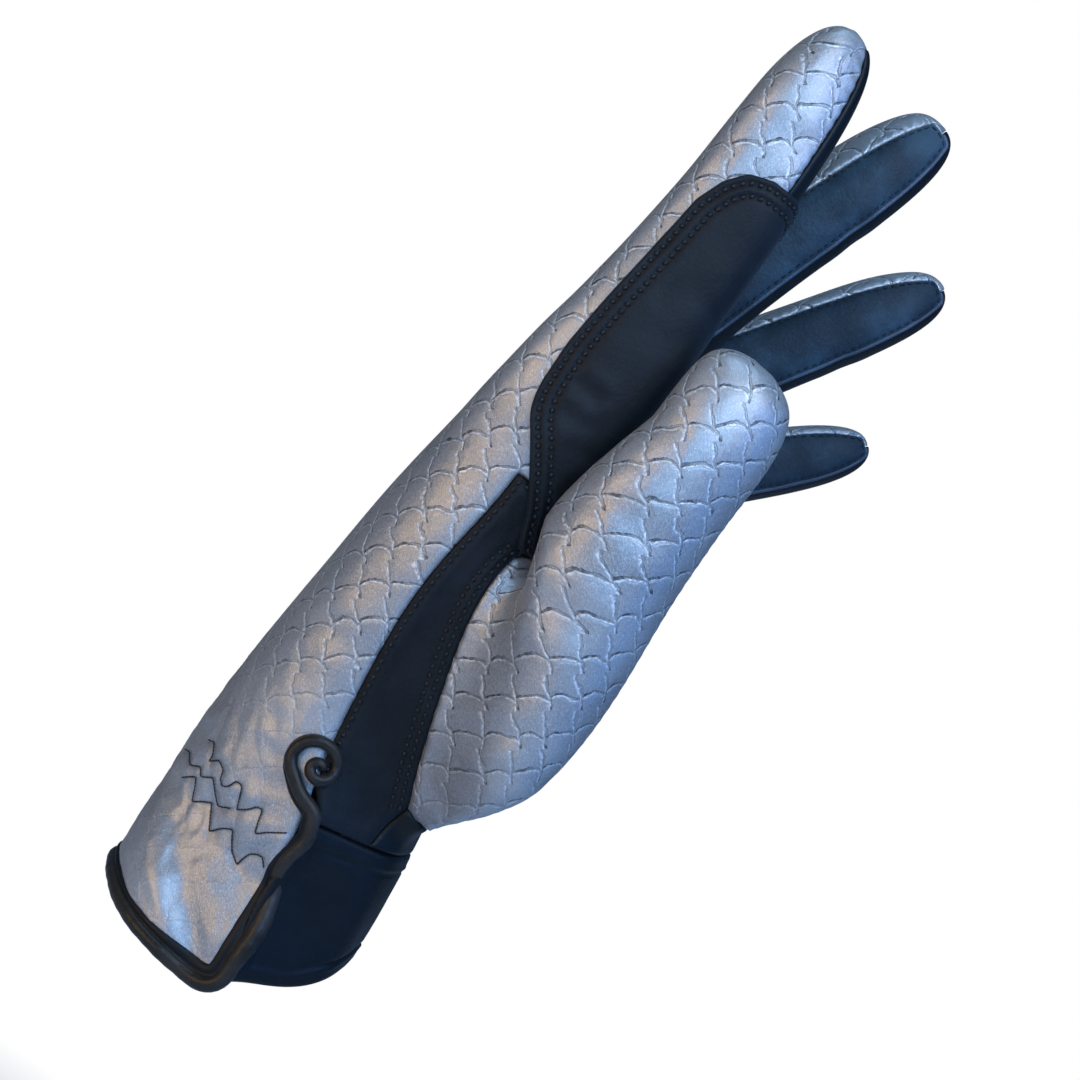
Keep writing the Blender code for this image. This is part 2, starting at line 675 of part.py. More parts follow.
def index_patch(tree):
    """The reinforcement patch, laid over the index finger's thumb side and round to its palm."""
    rows = PATCH_STEPS
    columns = PATCH_COLUMNS
    wall = bmesh.new()
    grid = []
    for row in range(rows + 1):
        share = 1 - (1 - row / rows) ** PATCH_CROWD
        height = lerp(PATCH_FOOT, PATCH_TOP, share)
        along = height - FINGERS[0]["knuckle_z"] * HAND_LENGTH
        middle, way = finger_frame(0, max(along, 0.001))
        middle = point(middle[0], middle[1], height)
        line = []
        for column in range(columns + 1):
            angle = math.radians(lerp(patch_edge(share), PATCH_WRAP, column / columns))
            outward = Vector((-math.sin(angle), -math.cos(angle), 0.0))
            start = Vector(tuple(middle * MM))
            hit, normal, face, distance = tree.ray_cast(start, outward)
            if normal.dot(outward) < 0:
                normal = -normal
            line.append((hit, normal))
        grid.append(line)
    low = PATCH_GAP * MM
    high = (PATCH_GAP + LEATHER_WALL) * MM
    under = [[wall.verts.new(spot + normal * low) for spot, normal in line] for line in grid]
    over = [[wall.verts.new(spot + normal * high) for spot, normal in line] for line in grid]
    for row in range(rows):
        for column in range(columns):
            after = column + 1
            wall.faces.new((over[row][column], over[row][after],
                            over[row + 1][after], over[row + 1][column]))
            wall.faces.new((under[row][column], under[row + 1][column],
                            under[row + 1][after], under[row][after]))
    for row in range(rows):
        for column in (0, columns):
            wall.faces.new((over[row][column], over[row + 1][column],
                            under[row + 1][column], under[row][column]))
    for column in range(columns):
        for row in (0, rows):
            wall.faces.new((over[row][column], over[row][column + 1],
                            under[row][column + 1], under[row][column]))
    return wall


def border_chain(shape, number):
    """Corner points along the panel's free edge, from the little finger's side of the hem, over the
    back, to the top of the vent, each with its way out of the panel."""
    links = {}
    ways = {}
    for edge in shape.edges:
        if not edge.is_boundary or edge.link_faces[0].material_index != number:
            continue
        start, end = edge.verts
        links.setdefault(start, []).append(end)
        links.setdefault(end, []).append(start)
        along = (end.co - start.co).normalized()
        away = edge.link_faces[0].calc_center_median() - start.co
        away = (away - along * away.dot(along)).normalized()
        for vert in edge.verts:
            ways.setdefault(vert, []).append(-away)
    ends = [vert for vert in links if len(links[vert]) == 1]
    vert = max(ends, key=lambda end: end.co.y)
    chain = [vert]
    while True:
        after = [other for other in links[chain[-1]] if other not in chain]
        if not after:
            return [(vert, ways[vert]) for vert in chain]
        chain.append(after[0])


def binding_path(shape, tree, number):
    """Middle line of the binding: along the hem and the vent's edge, sunk level with the wall, then
    up on to the skin and round in a curl at the top of the vent. Each point has its normal."""
    apart = (SEAM_GAP + BINDING_WIDTH / 2) * MM
    sunk = -FABRIC_WALL / 2 * MM
    lifted = (LAYER_GAP + BINDING_HEIGHT / 2) * MM
    cuff_top = HAND_ROWS[0]["height"] * HAND_LENGTH * MM
    path = []
    for vert, ways in border_chain(shape, number):
        if vert.co.y < 0 and vert.co.z > cuff_top * VENT_LIFT[0]:
            break
        mean = Vector((0, 0, 0))
        for way in ways:
            mean += way
        mean.normalize()
        least = max(min(mean.dot(way) for way in ways), 0.6)
        path.append((vert.co + mean * apart / least + vert.normal * sunk, vert.normal.copy()))
    path[0] = (path[0][0] + (path[1][0] - path[0][0]) * BINDING_TUCK, path[0][1])
    side = HAND_ROWS[0]["side"] * HAND_DEPTH
    loop_x = HAND_ROWS[1]["side"] * HAND_DEPTH
    loop_z = HAND_ROWS[1]["height"] * HAND_LENGTH
    spots = [(side + away, loop_z * lift) for away, lift in zip(VENT_AWAY, VENT_LIFT[1:])]
    spots.append((loop_x + CURL_LEAD[0], loop_z - LOOP_RADIUS * CURL_LEAD[1]))
    for turn in range(CURL_TURNS + 1):
        angle = math.radians(lerp(CURL_START, CURL_END, turn / CURL_TURNS))
        spots.append((loop_x + LOOP_RADIUS * math.cos(angle), loop_z + LOOP_RADIUS * math.sin(angle)))
    for x, z in spots:
        guess = Vector((x, -WRIST_BREADTH / 2, z)) * MM
        hit, normal, face, distance = tree.find_nearest(guess)
        if normal.y > 0:
            normal = -normal
        path.append((Vector((guess.x, hit.y, guess.z)) + normal * lifted, normal))
    return path


def smooth_path(path, spacing):
    """A Catmull-Rom line through the path's points, with a point at every spacing."""
    spots = [path[0]] + path + [path[-1]]
    fine = []
    for place in range(1, len(spots) - 2):
        a, b, c, d = (spots[place + step] for step in (-1, 0, 1, 2))
        steps = max(round((c[0] - b[0]).length / spacing), 1)
        for step in range(steps):
            t = step / steps
            spot = 0.5 * (2 * b[0] + (c[0] - a[0]) * t
                          + (2 * a[0] - 5 * b[0] + 4 * c[0] - d[0]) * t ** 2
                          + (3 * b[0] - a[0] - 3 * c[0] + d[0]) * t ** 3)
            fine.append((spot, b[1].lerp(c[1], t).normalized()))
    fine.append(path[-1])
    return fine


def swept(path, width, height):
    """A closed oval tube along a path whose points carry their own normals."""
    tube = bmesh.new()
    rings = []
    for place, (spot, normal) in enumerate(path):
        before = path[max(place - 1, 0)][0]
        after = path[min(place + 1, len(path) - 1)][0]
        along = (after - before).normalized()
        across = along.cross(normal).normalized()
        up = across.cross(along)
        ring = []
        for side in range(BINDING_SIDES):
            angle = 2 * math.pi * side / BINDING_SIDES
            reach = across * math.cos(angle) * width / 2 + up * math.sin(angle) * height / 2
            ring.append(tube.verts.new(spot + reach * MM))
        rings.append(ring)
    for low, high in zip(rings, rings[1:]):
        for side in range(BINDING_SIDES):
            after = (side + 1) % BINDING_SIDES
            tube.faces.new((low[side], low[after], high[after], high[side]))
    tube.faces.new(list(reversed(rings[0])))
    tube.faces.new(rings[-1])
    return tube


def main():
    clear_scene()
    shape = smooth_skin(build_cage())
    point_out(shape)
    press_fold(shape)
    shape.normal_update()
    tree = BVHTree.FromBMesh(shape)
    fabric = material("scale_fabric", (0.30, 0.36, 0.42), 0.42)
    leather = material("black_leather", (0.012, 0.016, 0.022), 0.5)
    for number, (name, wall) in enumerate(PANEL_WALLS.items()):
        faces, inward = panel_parts(shape, number)
        finish = fabric if wall == FABRIC_WALL else leather
        place(name, wall_of(shape, faces, inward, 0.0, -wall), finish)
    place("index_patch", index_patch(tree), leather)
    path = smooth_path(binding_path(shape, tree, 0), BINDING_STEP * MM)
    place("edge_binding", swept(path, BINDING_WIDTH, BINDING_HEIGHT), leather)
    shape.free()


main()
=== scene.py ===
# %% [markdown]
# # A riding glove, dressed in Blender
# The imported model gives the fixed frame: every wall of the glove as a plain solid, in metres, with
# the fingertips towards +Z, the back of the hand towards -X and the thumb's side towards -Y.
# Here each wall gets the look of the real thing: scale-embossed satin fabric, soft black leather,
# rolled edges, bindings and rows of stitches. We load the frame first. The finished glove has to
# stay inside it.

# %% Load the imported frame
import math

import bmesh
import bpy
import numpy as np
from mathutils import Matrix, Vector, noise
from mathutils.bvhtree import BVHTree
from mathutils.kdtree import KDTree


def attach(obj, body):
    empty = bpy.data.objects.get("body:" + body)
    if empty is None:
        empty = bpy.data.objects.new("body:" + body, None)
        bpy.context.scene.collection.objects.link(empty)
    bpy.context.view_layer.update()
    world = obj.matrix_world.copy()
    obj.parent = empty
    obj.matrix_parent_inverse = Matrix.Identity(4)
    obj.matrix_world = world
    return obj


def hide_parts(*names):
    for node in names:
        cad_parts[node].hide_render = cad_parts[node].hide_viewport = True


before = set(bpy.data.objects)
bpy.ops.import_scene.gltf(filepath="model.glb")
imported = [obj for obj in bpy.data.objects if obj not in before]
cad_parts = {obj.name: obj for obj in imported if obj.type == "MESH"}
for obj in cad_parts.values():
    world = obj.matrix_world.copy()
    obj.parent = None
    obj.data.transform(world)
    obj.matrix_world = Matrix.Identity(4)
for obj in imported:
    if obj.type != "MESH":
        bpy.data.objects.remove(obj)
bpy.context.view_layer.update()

MM = 0.001
PHOTO_PIXEL = 0.21          # millimetres for each pixel of the 1080 by 1080 frame, at the hand
PHOTO_ZERO = (240.0, 905.0)  # the pixel that shows the wrist's middle
PHOTO_ROLL = 36.0           # the glove leans this many degrees in the picture
print("nodes:", sorted(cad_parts))


def add_object(name, data):
    made = bpy.data.objects.new(name, data)
    bpy.context.collection.objects.link(made)
    return made


# %% [markdown]
# ## Camera
# The picture is taken square on to the thumb's side, from about 75 cm away, with the glove leaning
# to the right. Rather than tilt the glove, we roll the camera, so that the glove stays upright in
# its own frame. The lens follows from the width that the frame covers at the hand's middle.

# %% A rolled camera, square to the thumb's side
CAMERA_DISTANCE = 0.75
CAMERA_AIM = Vector((0.0059, 0.0, 0.0991))


def look_from(direction, up, roll):
    """A rotation whose -Z looks against a direction, turned about it by a roll in degrees."""
    back = direction.normalized()
    right = up.cross(back).normalized()
    top = back.cross(right)
    turn = Matrix((right, top, back)).transposed().to_4x4()
    return turn @ Matrix.Rotation(math.radians(roll), 4, "Z")


lens = bpy.data.cameras.new("camera")
lens.sensor_width = 36.0
lens.lens = 36.0 * CAMERA_DISTANCE / (1080 * PHOTO_PIXEL * MM)
camera = add_object("camera", lens)
camera.matrix_world = look_from(Vector((0, -1, 0)), Vector((0, 0, 1)), PHOTO_ROLL)
camera.location = CAMERA_AIM + Vector((0, -CAMERA_DISTANCE, 0))
bpy.context.scene.camera = camera
print("lens", round(lens.lens, 1), "mm")

# %% [markdown]
# ## A short way to add nodes
# Materials, the world and Geometry Nodes are all trees of nodes. One helper adds a node, sets it up
# and joins its inputs, so each tree below reads like a list of steps.

# %% Add a node and fill its inputs
def fill_inputs(tree, node, inputs):
    """Inputs get values or other outputs. _0 names the first input, and _ also stands for a space."""
    for name, value in inputs.items():
        socket = node.inputs[int(name[1:]) if name[0] == "_" else name.replace("_", " ")]
        value = getattr(value, "socket", value)
        if isinstance(value, bpy.types.NodeSocket):
            tree.links.new(value, socket)
        elif socket.type == "RGBA":
            socket.default_value = (*value[:3], 1.0)
        else:
            socket.default_value = value


def add_node(tree, kind, settings=None, **inputs):
    """A new node with its settings and inputs."""
    made = tree.nodes.new(kind)
    for name, value in (settings or {}).items():
        setattr(made, name, value)
    fill_inputs(tree, made, inputs)
    return made


def new_material(name):
    """A material with nodes, its tree and its shader."""
    made = bpy.data.materials.new(name)
    made.use_nodes = True
    return made, made.node_tree, made.node_tree.nodes["Principled BSDF"]


# %% [markdown]
# ## Light and floor
# Satin takes its colour from what it reflects. Two warm panels stand on the side of the hand's back,
# a pale one near the camera, and five blue ones above, in front, below and on the palm's side, so
# each bend of the fabric runs from tan to blue. The surroundings are white to the camera and a dim
# blue for reflections, so black leather stays black. The floor is a wide pale disc below the glove.

# %% Soft panels round the glove
PICTURE_RIGHT = Vector((math.cos(math.radians(PHOTO_ROLL)), 0, math.sin(math.radians(PHOTO_ROLL))))
PICTURE_UP = Vector((-math.sin(math.radians(PHOTO_ROLL)), 0, math.cos(math.radians(PHOTO_ROLL))))
TOWARDS_CAMERA = Vector((0, -1, 0))


def soft_panel(name, right, up, near, distance, size, power, colour):
    """A square area light, placed by how far right, up and near it is in the picture."""
    direction = (PICTURE_RIGHT * right + PICTURE_UP * up + TOWARDS_CAMERA * near).normalized()
    data = bpy.data.lights.new(name, "AREA")
    data.shape = "SQUARE"
    data.size = size
    data.energy = power
    data.color = colour
    panel = add_object(name, data)
    panel.matrix_world = look_from(direction, Vector((0, 0.01, 1)), 0)
    panel.location = CAMERA_AIM + direction * distance
    return panel


soft_panel("warm_front", -0.75, 0.35, 0.8, 0.9, 0.6, 4.1, (1.0, 0.64, 0.26))
soft_panel("warm_left", -1.0, -0.3, 0.30, 0.8, 0.6, 5.0, (1.0, 0.82, 0.62))
soft_panel("blue_top", 0.45, 1.0, 0.15, 0.8, 0.5, 2.2, (0.40, 0.68, 1.0))
soft_panel("blue_front", 0.22, 0.24, 1.0, 0.50, 0.36, 1.35, (0.16, 0.50, 1.0))
soft_panel("pale_near", 0.6, 0.35, 0.8, 0.42, 0.3, 0.75, (0.95, 0.98, 0.98))
soft_panel("blue_side", 1.0, -0.35, 0.30, 0.8, 0.6, 1.4, (0.05, 0.30, 1.0))
soft_panel("blue_right", 0.9, 0.1, 0.7, 0.9, 0.5, 2.0, (0.05, 0.30, 1.0))
soft_panel("blue_low", 0.1, -0.8, 0.8, 0.8, 0.5, 0.5, (0.04, 0.22, 1.0))
print("eight soft panels")

# %% White surroundings
world = bpy.data.worlds.new("studio")
bpy.context.scene.world = world
world.use_nodes = True
tree = world.node_tree
tree.nodes.clear()
seen = add_node(tree, "ShaderNodeBackground", Color=(1.0, 1.0, 1.0), Strength=1.0)
around = add_node(tree, "ShaderNodeBackground", Color=(0.34, 0.60, 1.0), Strength=0.13)
rays = add_node(tree, "ShaderNodeLightPath")
blend = add_node(tree, "ShaderNodeMixShader", _0=rays.outputs["Is Camera Ray"],
                 _1=around.outputs[0], _2=seen.outputs[0])
add_node(tree, "ShaderNodeOutputWorld", Surface=blend.outputs[0])
bpy.context.scene.view_settings.view_transform = "Standard"

# %% A pale floor that runs out into white
FLOOR_LEVEL = -0.12
FLOOR_RADIUS = 9.0
FLOOR_PALE = 0.16         # inside this radius the camera sees the pale floor
FLOOR_WHITE = 0.36        # and outside this one plain white
floor_mesh = bpy.data.meshes.new("floor")
rim = [(FLOOR_RADIUS * math.cos(turn), FLOOR_RADIUS * math.sin(turn), FLOOR_LEVEL)
       for turn in np.linspace(0, 2 * math.pi, 97)[:-1]]
floor_mesh.from_pydata(rim, [], [list(range(len(rim)))])
floor = add_object("floor", floor_mesh)
pale, tree, shader = new_material("pale_floor")
fill_inputs(tree, shader, dict(Base_Color=(0.78, 0.79, 0.80), Roughness=0.9, Specular_IOR_Level=0.0,
                               Emission_Color=(1.0, 1.0, 1.0), Emission_Strength=0.05))
where = add_node(tree, "ShaderNodeTexCoord").outputs["Object"]
away = add_node(tree, "ShaderNodeVectorMath", dict(operation="LENGTH"), _0=where).outputs["Value"]
fade = add_node(tree, "ShaderNodeMapRange", Value=away, From_Min=FLOOR_PALE, From_Max=FLOOR_WHITE)
seen = add_node(tree, "ShaderNodeLightPath").outputs["Is Camera Ray"]
both = add_node(tree, "ShaderNodeMath", dict(operation="MULTIPLY"), _0=fade.outputs["Result"], _1=seen)
white = add_node(tree, "ShaderNodeEmission")
mixed = add_node(tree, "ShaderNodeMixShader", _0=both.outputs[0], _1=shader.outputs[0],
                 _2=white.outputs[0])
tree.links.new(mixed.outputs[0], tree.nodes["Material Output"].inputs["Surface"])
floor_mesh.materials.append(pale)
print("floor at", FLOOR_LEVEL, "m")

# %% [markdown]
# ## The glove's sizes
# A real glove is cut from flat panels, so its maker thinks in widths, lengths and seam lines. The
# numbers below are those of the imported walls: the hand's length and depth, each finger's length and
# breadth, and short tables that shape the rows from the hem to the fingertips. Keeping the same
# numbers means that every dressed panel lies where its plain wall lies.

# %% Sizes in millimetres
HAND_LENGTH = 122.0       # wrist opening to the index knuckle
HAND_DEPTH = 53.0         # back to palm across the wrist
WRIST_BREADTH = 61.0      # thumb side to little finger side across the wrist
CUFF_DROP = 12.0          # how far the hem drops below the origin on the thumb side
CUFF_SLANT = 0.17         # rise of the hem for each millimetre towards the palm

THUMB_LENGTH = 117.0      # foot of the thumb's seam to its tip
THUMB_WIDTH = 30.0        # the thumb's breadth as seen from its side
THUMB_THICKNESS = 25.0    # towards the index finger and away from it
THUMB_OFFSET = 11.0       # how far the thumb stands out beyond the hand's thumb side

FABRIC_WALL = 1.4         # scale fabric of the back and the thumb
LEATHER_WALL = 1.2        # palm, finger sides, gusset, patch and cuff band
SEAM_GAP = 0.3            # between two panels at a seam
VENT_PLAY = 0.9           # room beside the binding in the vent
VENT_EASE = 1.8           # more of it just under the vent's top, where smoothing draws it in
BINDING_WIDTH = 3.2
LOOP_RADIUS = 4.4         # middle line of the binding's curl at the top of the vent
PATCH_TOP = 184.0         # top of the index patch above the wrist opening
PATCH_FOOT = 95.0         # its foot, beside the thumb's seam

# %% Fingers and thumb
# knuckle_x and knuckle_z are shares of HAND_DEPTH and HAND_LENGTH. Angles are in degrees.
def rows_of(names, *rows):
    """Rows of values as dictionaries. The names head the columns."""
    return [dict(zip(names.split(), row)) for row in rows]


FINGERS = rows_of(
    "name knuckle_x knuckle_z length width mid_width knuckle_depth root_depth mid_depth web bend curl spread",
    ("index", -0.125, 1.000, 97.5, 20.4, 18.2, 30.0, 25.8, 21.2, 27.0, 6.5, -4.5, -1.5),
    ("middle", -0.120, 1.012, 99.0, 20.6, 18.4, 30.6, 21.0, 18.0, 26.0, 14.3, 4.0, -0.5),
    ("ring", -0.050, 0.970, 88.5, 19.4, 17.4, 28.0, 19.0, 16.6, 25.0, 29.5, 2.8, 1.0),
    ("little", 0.045, 0.890, 70.5, 17.4, 15.4, 24.0, 17.0, 14.8, 20.0, 46.5, -1.4, 3.0),
)
THUMB_SIDE_SHARE = 0.528  # of the four fingers' breadth, on the thumb side of the hand's axis

# %% Rows of the hand, the fingers and the thumb
# In HAND_ROWS height is a share of HAND_LENGTH. back, palm, side and seam are shares of HAND_DEPTH.
HAND_ROWS = rows_of(
    "height back palm side seam breadth inset lower shift",
    (0.205, -0.555, 0.430, 0.020, 0.285, 0.00, 0.12, 0.00, 0.00),
    (0.296, -0.560, 0.415, -0.085, 0.345, 0.06, 0.24, 0.00, 0.00),
    (0.426, -0.552, 0.350, -0.115, 0.220, 0.25, 0.14, 0.02, 0.03),
    (0.541, -0.540, 0.290, -0.150, 0.140, 0.45, 0.10, 0.03, 0.06),
    (0.656, -0.525, 0.245, -0.145, 0.055, 0.66, 0.08, 0.06, 0.10),
    (0.770, -0.508, 0.215, -0.105, 0.077, 0.82, 0.08, 0.10, 0.14),
    (0.877, -0.480, 0.205, -0.076, 0.102, 0.93, 0.08, 0.14, 0.18),
)
CUFF_ROWS = (0.0, 0.30, 0.62)      # share of the way from the hem to the cuff seam
CUFF_SIDE = (0.066, 0.055, 0.015)  # vent edge in each cuff row, share of HAND_DEPTH
CUFF_SEAM_SLANT = 0.25             # the cuff seam also rises towards the palm
CUFF_FLARE = (1.5, 0.9, 0.3)       # how far each cuff row stands out at the palm, in millimetres
CUFF_EASE = 0.028                  # all of them also stand out by this share of HAND_DEPTH
HEM_DRAW = 0.03                    # the elastic draws the hem's back in by this share of it
HEM_LIFT = 0.5                     # the hem's height on the hand's axis, in millimetres
LITTLE_DROP = 0.35                 # the hem's drop on the little finger's side, share of CUFF_DROP

FOLD_DEPTH = 1.6          # the slanting fold at the back of the wrist
FOLD_BACK_Z = 15.0        # height of its line at the back
FOLD_SIDE_Z = -11.0       # and at the middle of the thumb side, where it runs out over the hem
FOLD_WIDTH = 4.5
FLARE_SHARE = 0.45        # the hem stands out below the fold by this share of its depth
FLARE_BELOW = 9.0
FLARE_WIDTH = 5.0
FOLD_FADE = 7.0           # the fold fades in over this distance from the back's outside

FINGER_ROWS = rows_of(
    "along depth width seams",
    (0.00, 1.00, 1.00, 0.90),
    (0.13, 1.00, 0.96, 0.90),
    (0.29, 1.00, 0.96, 0.90),
    (0.46, 1.00, 0.98, 0.90),
    (0.63, 0.99, 0.99, 0.88),
    (0.79, 0.92, 0.94, 0.82),
    (0.91, 0.76, 0.78, 0.68),
    (0.98, 0.46, 0.48, 0.50),
)

THUMB_ROWS = rows_of(
    "out_x out_z in_x in_z y depth",
    (0.93, 0.100, 0.250, 0.480, -0.75, 0.98),
    (1.07, 0.195, 0.190, 0.540, -0.45, 1.04),
    (1.10, 0.305, 0.150, 0.595, -0.22, 1.06),
    (1.07, 0.425, 0.140, 0.650, -0.05, 1.03),
    (1.02, 0.540, 0.150, 0.705, 0.08, 0.99),
    (1.00, 0.660, 0.165, 0.765, 0.17, 0.96),
    (1.00, 0.775, 0.190, 0.830, 0.22, 0.93),
    (1.02, 0.885, 0.170, 0.912, 0.25, 0.86),
    (0.94, 0.965, 0.220, 0.985, 0.25, 0.62),
)
THUMB_TIP_X = 0.58        # shares of the thumb's width and length
THUMB_TIP_Z = 1.015
THUMB_TURN = 24.0         # degrees that the thumb's flat side turns away from a plain side view
THUMB_LEAN = 0.6          # how much of that turn its breadth follows

PATCH_EDGE = (
    (0.00, -74.0), (0.07, -54.0), (0.17, -13.0), (0.265, 25.0), (0.335, 33.0), (0.44, 38.0),
    (0.76, 37.5), (0.865, 35.0), (0.935, 23.0), (0.98, 4.0), (1.00, -28.0),
)
PATCH_WRAP = -118.0       # the patch's far edge, on the palm side of the finger
PATCH_CROWD = 1.5         # rows of the patch crowd towards its round top

VENT_LIFT = (0.60, 0.63, 0.77)  # where the binding leaves the edge and passes, shares of the row's height
VENT_AWAY = (2.3, 0.4)          # how far from the vent it passes
CURL_LEAD = (1.2, 1.5)          # towards the palm in millimetres, and down in shares of LOOP_RADIUS
CURL_START = 228.0              # the angle at which the curl begins

ROUND_CORNER = 0.90       # control points of a round section: corners and middles
ROUND_MIDDLE = 1.05
ROUND_THUMB = 1.06        # and all twelve of the thumb's
ROUND_SLIM = 2.2          # how square the hand's section is at the wrist and at the knuckles
ROUND_FULL = 2.8
VENT_STAND = 1.01         # the vent's edges stand out a little from the thumb side
TIP_REACH = 1.004         # a fingertip's control point, as a share of the finger's length
CROTCH_DROP = 2.0         # how far the skin dips between two fingers' roots
THUMB_SIDES = 12
DORSAL_SHARES = (0.075, 0.185, 0.31, 0.425, 0.55, 0.665, 0.775, 0.87, 0.945)

# %% [markdown]
# ## One skin for the whole glove
# Panels that are modelled one by one rarely meet cleanly. Here one cage of quads carries the whole
# outer skin, as if the glove were a single balloon, and each quad knows the panel it belongs to. A
# seam is then simply the line where two panels meet. The cage is made of rings: seven round the
# hand, and short rings up each finger and the thumb.

# %% Small helpers, and the middle line of a finger
def lerp(a, b, t):
    return a + (b - a) * t


def point(x, y, z):
    return np.array((x, y, z), dtype=float)


def unit(vector):
    return vector / np.linalg.norm(vector)


def share_of(value, start, end):
    """How far values lie from start to end, kept from 0 to 1."""
    return np.clip((value - start) / (end - start), 0.0, 1.0)


def step_of(value, start, end):
    """A soft step from 0 at start to 1 at end."""
    share = share_of(value, start, end)
    return share * share * (3 - 2 * share)


def run_along(spots):
    """The length of a line up to each of its points."""
    return np.concatenate([[0.0], np.cumsum(np.linalg.norm(np.diff(spots, axis=0), axis=1))])


def edges_of(quads):
    """The four edges of every quad, as pairs of point numbers."""
    return np.concatenate([quads[:, (side, (side + 1) % 4)] for side in range(4)])


def gaps_to(marks, spots):
    """Distance of each point to the nearest of the marks."""
    tree = KDTree(len(marks))
    for place, mark in enumerate(marks):
        tree.insert(mark, place)
    tree.balance()
    return np.array([tree.find(spot)[2] for spot in spots])


def round_off(away, width):
    """How far a quarter-round edge of this width lies below its top, from 1 at the edge to 0."""
    return 1 - np.sqrt(1 - (1 - np.clip(away / width, 0, 1)) ** 2)


BREADTH = sum(finger["width"] for finger in FINGERS)
THUMB_SIDE = -THUMB_SIDE_SHARE * BREADTH


def finger_middle(index):
    """The y of a finger's middle line at the knuckles."""
    before = sum(finger["width"] for finger in FINGERS[:index])
    return THUMB_SIDE + before + FINGERS[index]["width"] / 2


def finger_frame(index, along):
    """Middle point and direction of a finger, at a length along it from its knuckle."""
    finger = FINGERS[index]
    spot = point(finger["knuckle_x"] * HAND_DEPTH, finger_middle(index),
                 finger["knuckle_z"] * HAND_LENGTH)
    steps = 40
    side = math.tan(math.radians(finger["spread"]))
    for step in range(steps):
        share = (step + 0.5) / steps * along / finger["length"]
        angle = math.radians(finger["bend"] + finger["curl"] * share * 2)
        way = unit(point(math.sin(angle), side, math.cos(angle)))
        spot = spot + way * along / steps
    angle = math.radians(finger["bend"] + finger["curl"] * along / finger["length"] * 2)
    return spot, unit(point(math.sin(angle), side, math.cos(angle)))


# %% Sections of a finger
def section(middle, way, depth, width, seams=ROUND_CORNER):
    """Eight control points of a finger's section, from the back seam on its thumb side, round by
    the back, the little finger's side and the palm to the middle of its thumb side."""
    across = point(0, 1, 0)
    palm = unit(np.cross(across, way))
    across = unit(np.cross(way, palm))
    half_depth = depth / 2
    half_width = width / 2
    corner = ROUND_CORNER * half_width
    mid = ROUND_MIDDLE
    spots = (
        (-seams * half_depth, -corner), (-mid * half_depth, 0), (-seams * half_depth, corner),
        (0, mid * half_width), (seams * half_depth, corner), (mid * half_depth, 0),
        (seams * half_depth, -corner), (0, -mid * half_width),
    )
    return [middle + palm * a + across * b for a, b in spots]


TIP_FULL = (0.0, 2.4, 0.6, 0.0)        # how much deeper a dressed fingertip is on its back
SEAM_SLIDE = (0.0, 0.42, 0.10, 0.0)    # how far the back's seam slides down a finger's thumb side


def dress_section(index, along, spots):
    """Small moves that only the dressed finger has: a fuller back, and seams that wander."""
    share = max(0.0, min(1.0, (along - 0.1) / 0.7))
    palm = unit(spots[5] - spots[1])
    for place in (0, 1, 2):
        spots[place] = spots[place] - palm * TIP_FULL[index] * share
    spots[0] = lerp(spots[0], spots[7], SEAM_SLIDE[index] * min(share * 1.6, 1.0))
    if index == 0:
        late = max(0.0, min(1.0, (along - 0.45) / 0.5))
        spots[6] = lerp(spots[6], spots[5], 0.75 * late * late)
    return spots


def finger_sections(index):
    """Sections at the knuckle and at every row of the finger, and its tip."""
    finger = FINGERS[index]
    spot, way = finger_frame(index, 0.0)
    half = math.radians(finger["bend"] / 2)
    way = unit(point(math.sin(half), 0, math.cos(half)))
    knuckle = section(spot, way, finger["knuckle_depth"], finger["width"])
    rows = []
    for row in FINGER_ROWS:
        share = row["along"]
        spot, way = finger_frame(index, lerp(finger["web"], finger["length"], share))
        settle = min(share / 0.6, 1.0)
        settle = settle * (2 - settle)
        depth = lerp(finger["root_depth"], finger["mid_depth"], settle) * row["depth"]
        width = lerp(finger["width"], finger["mid_width"], settle) * row["width"]
        spots = section(spot, way, depth, width, row["seams"])
        rows.append(dress_section(index, share, spots))
    tip, way = finger_frame(index, finger["length"] * TIP_REACH)
    return knuckle, rows, tip


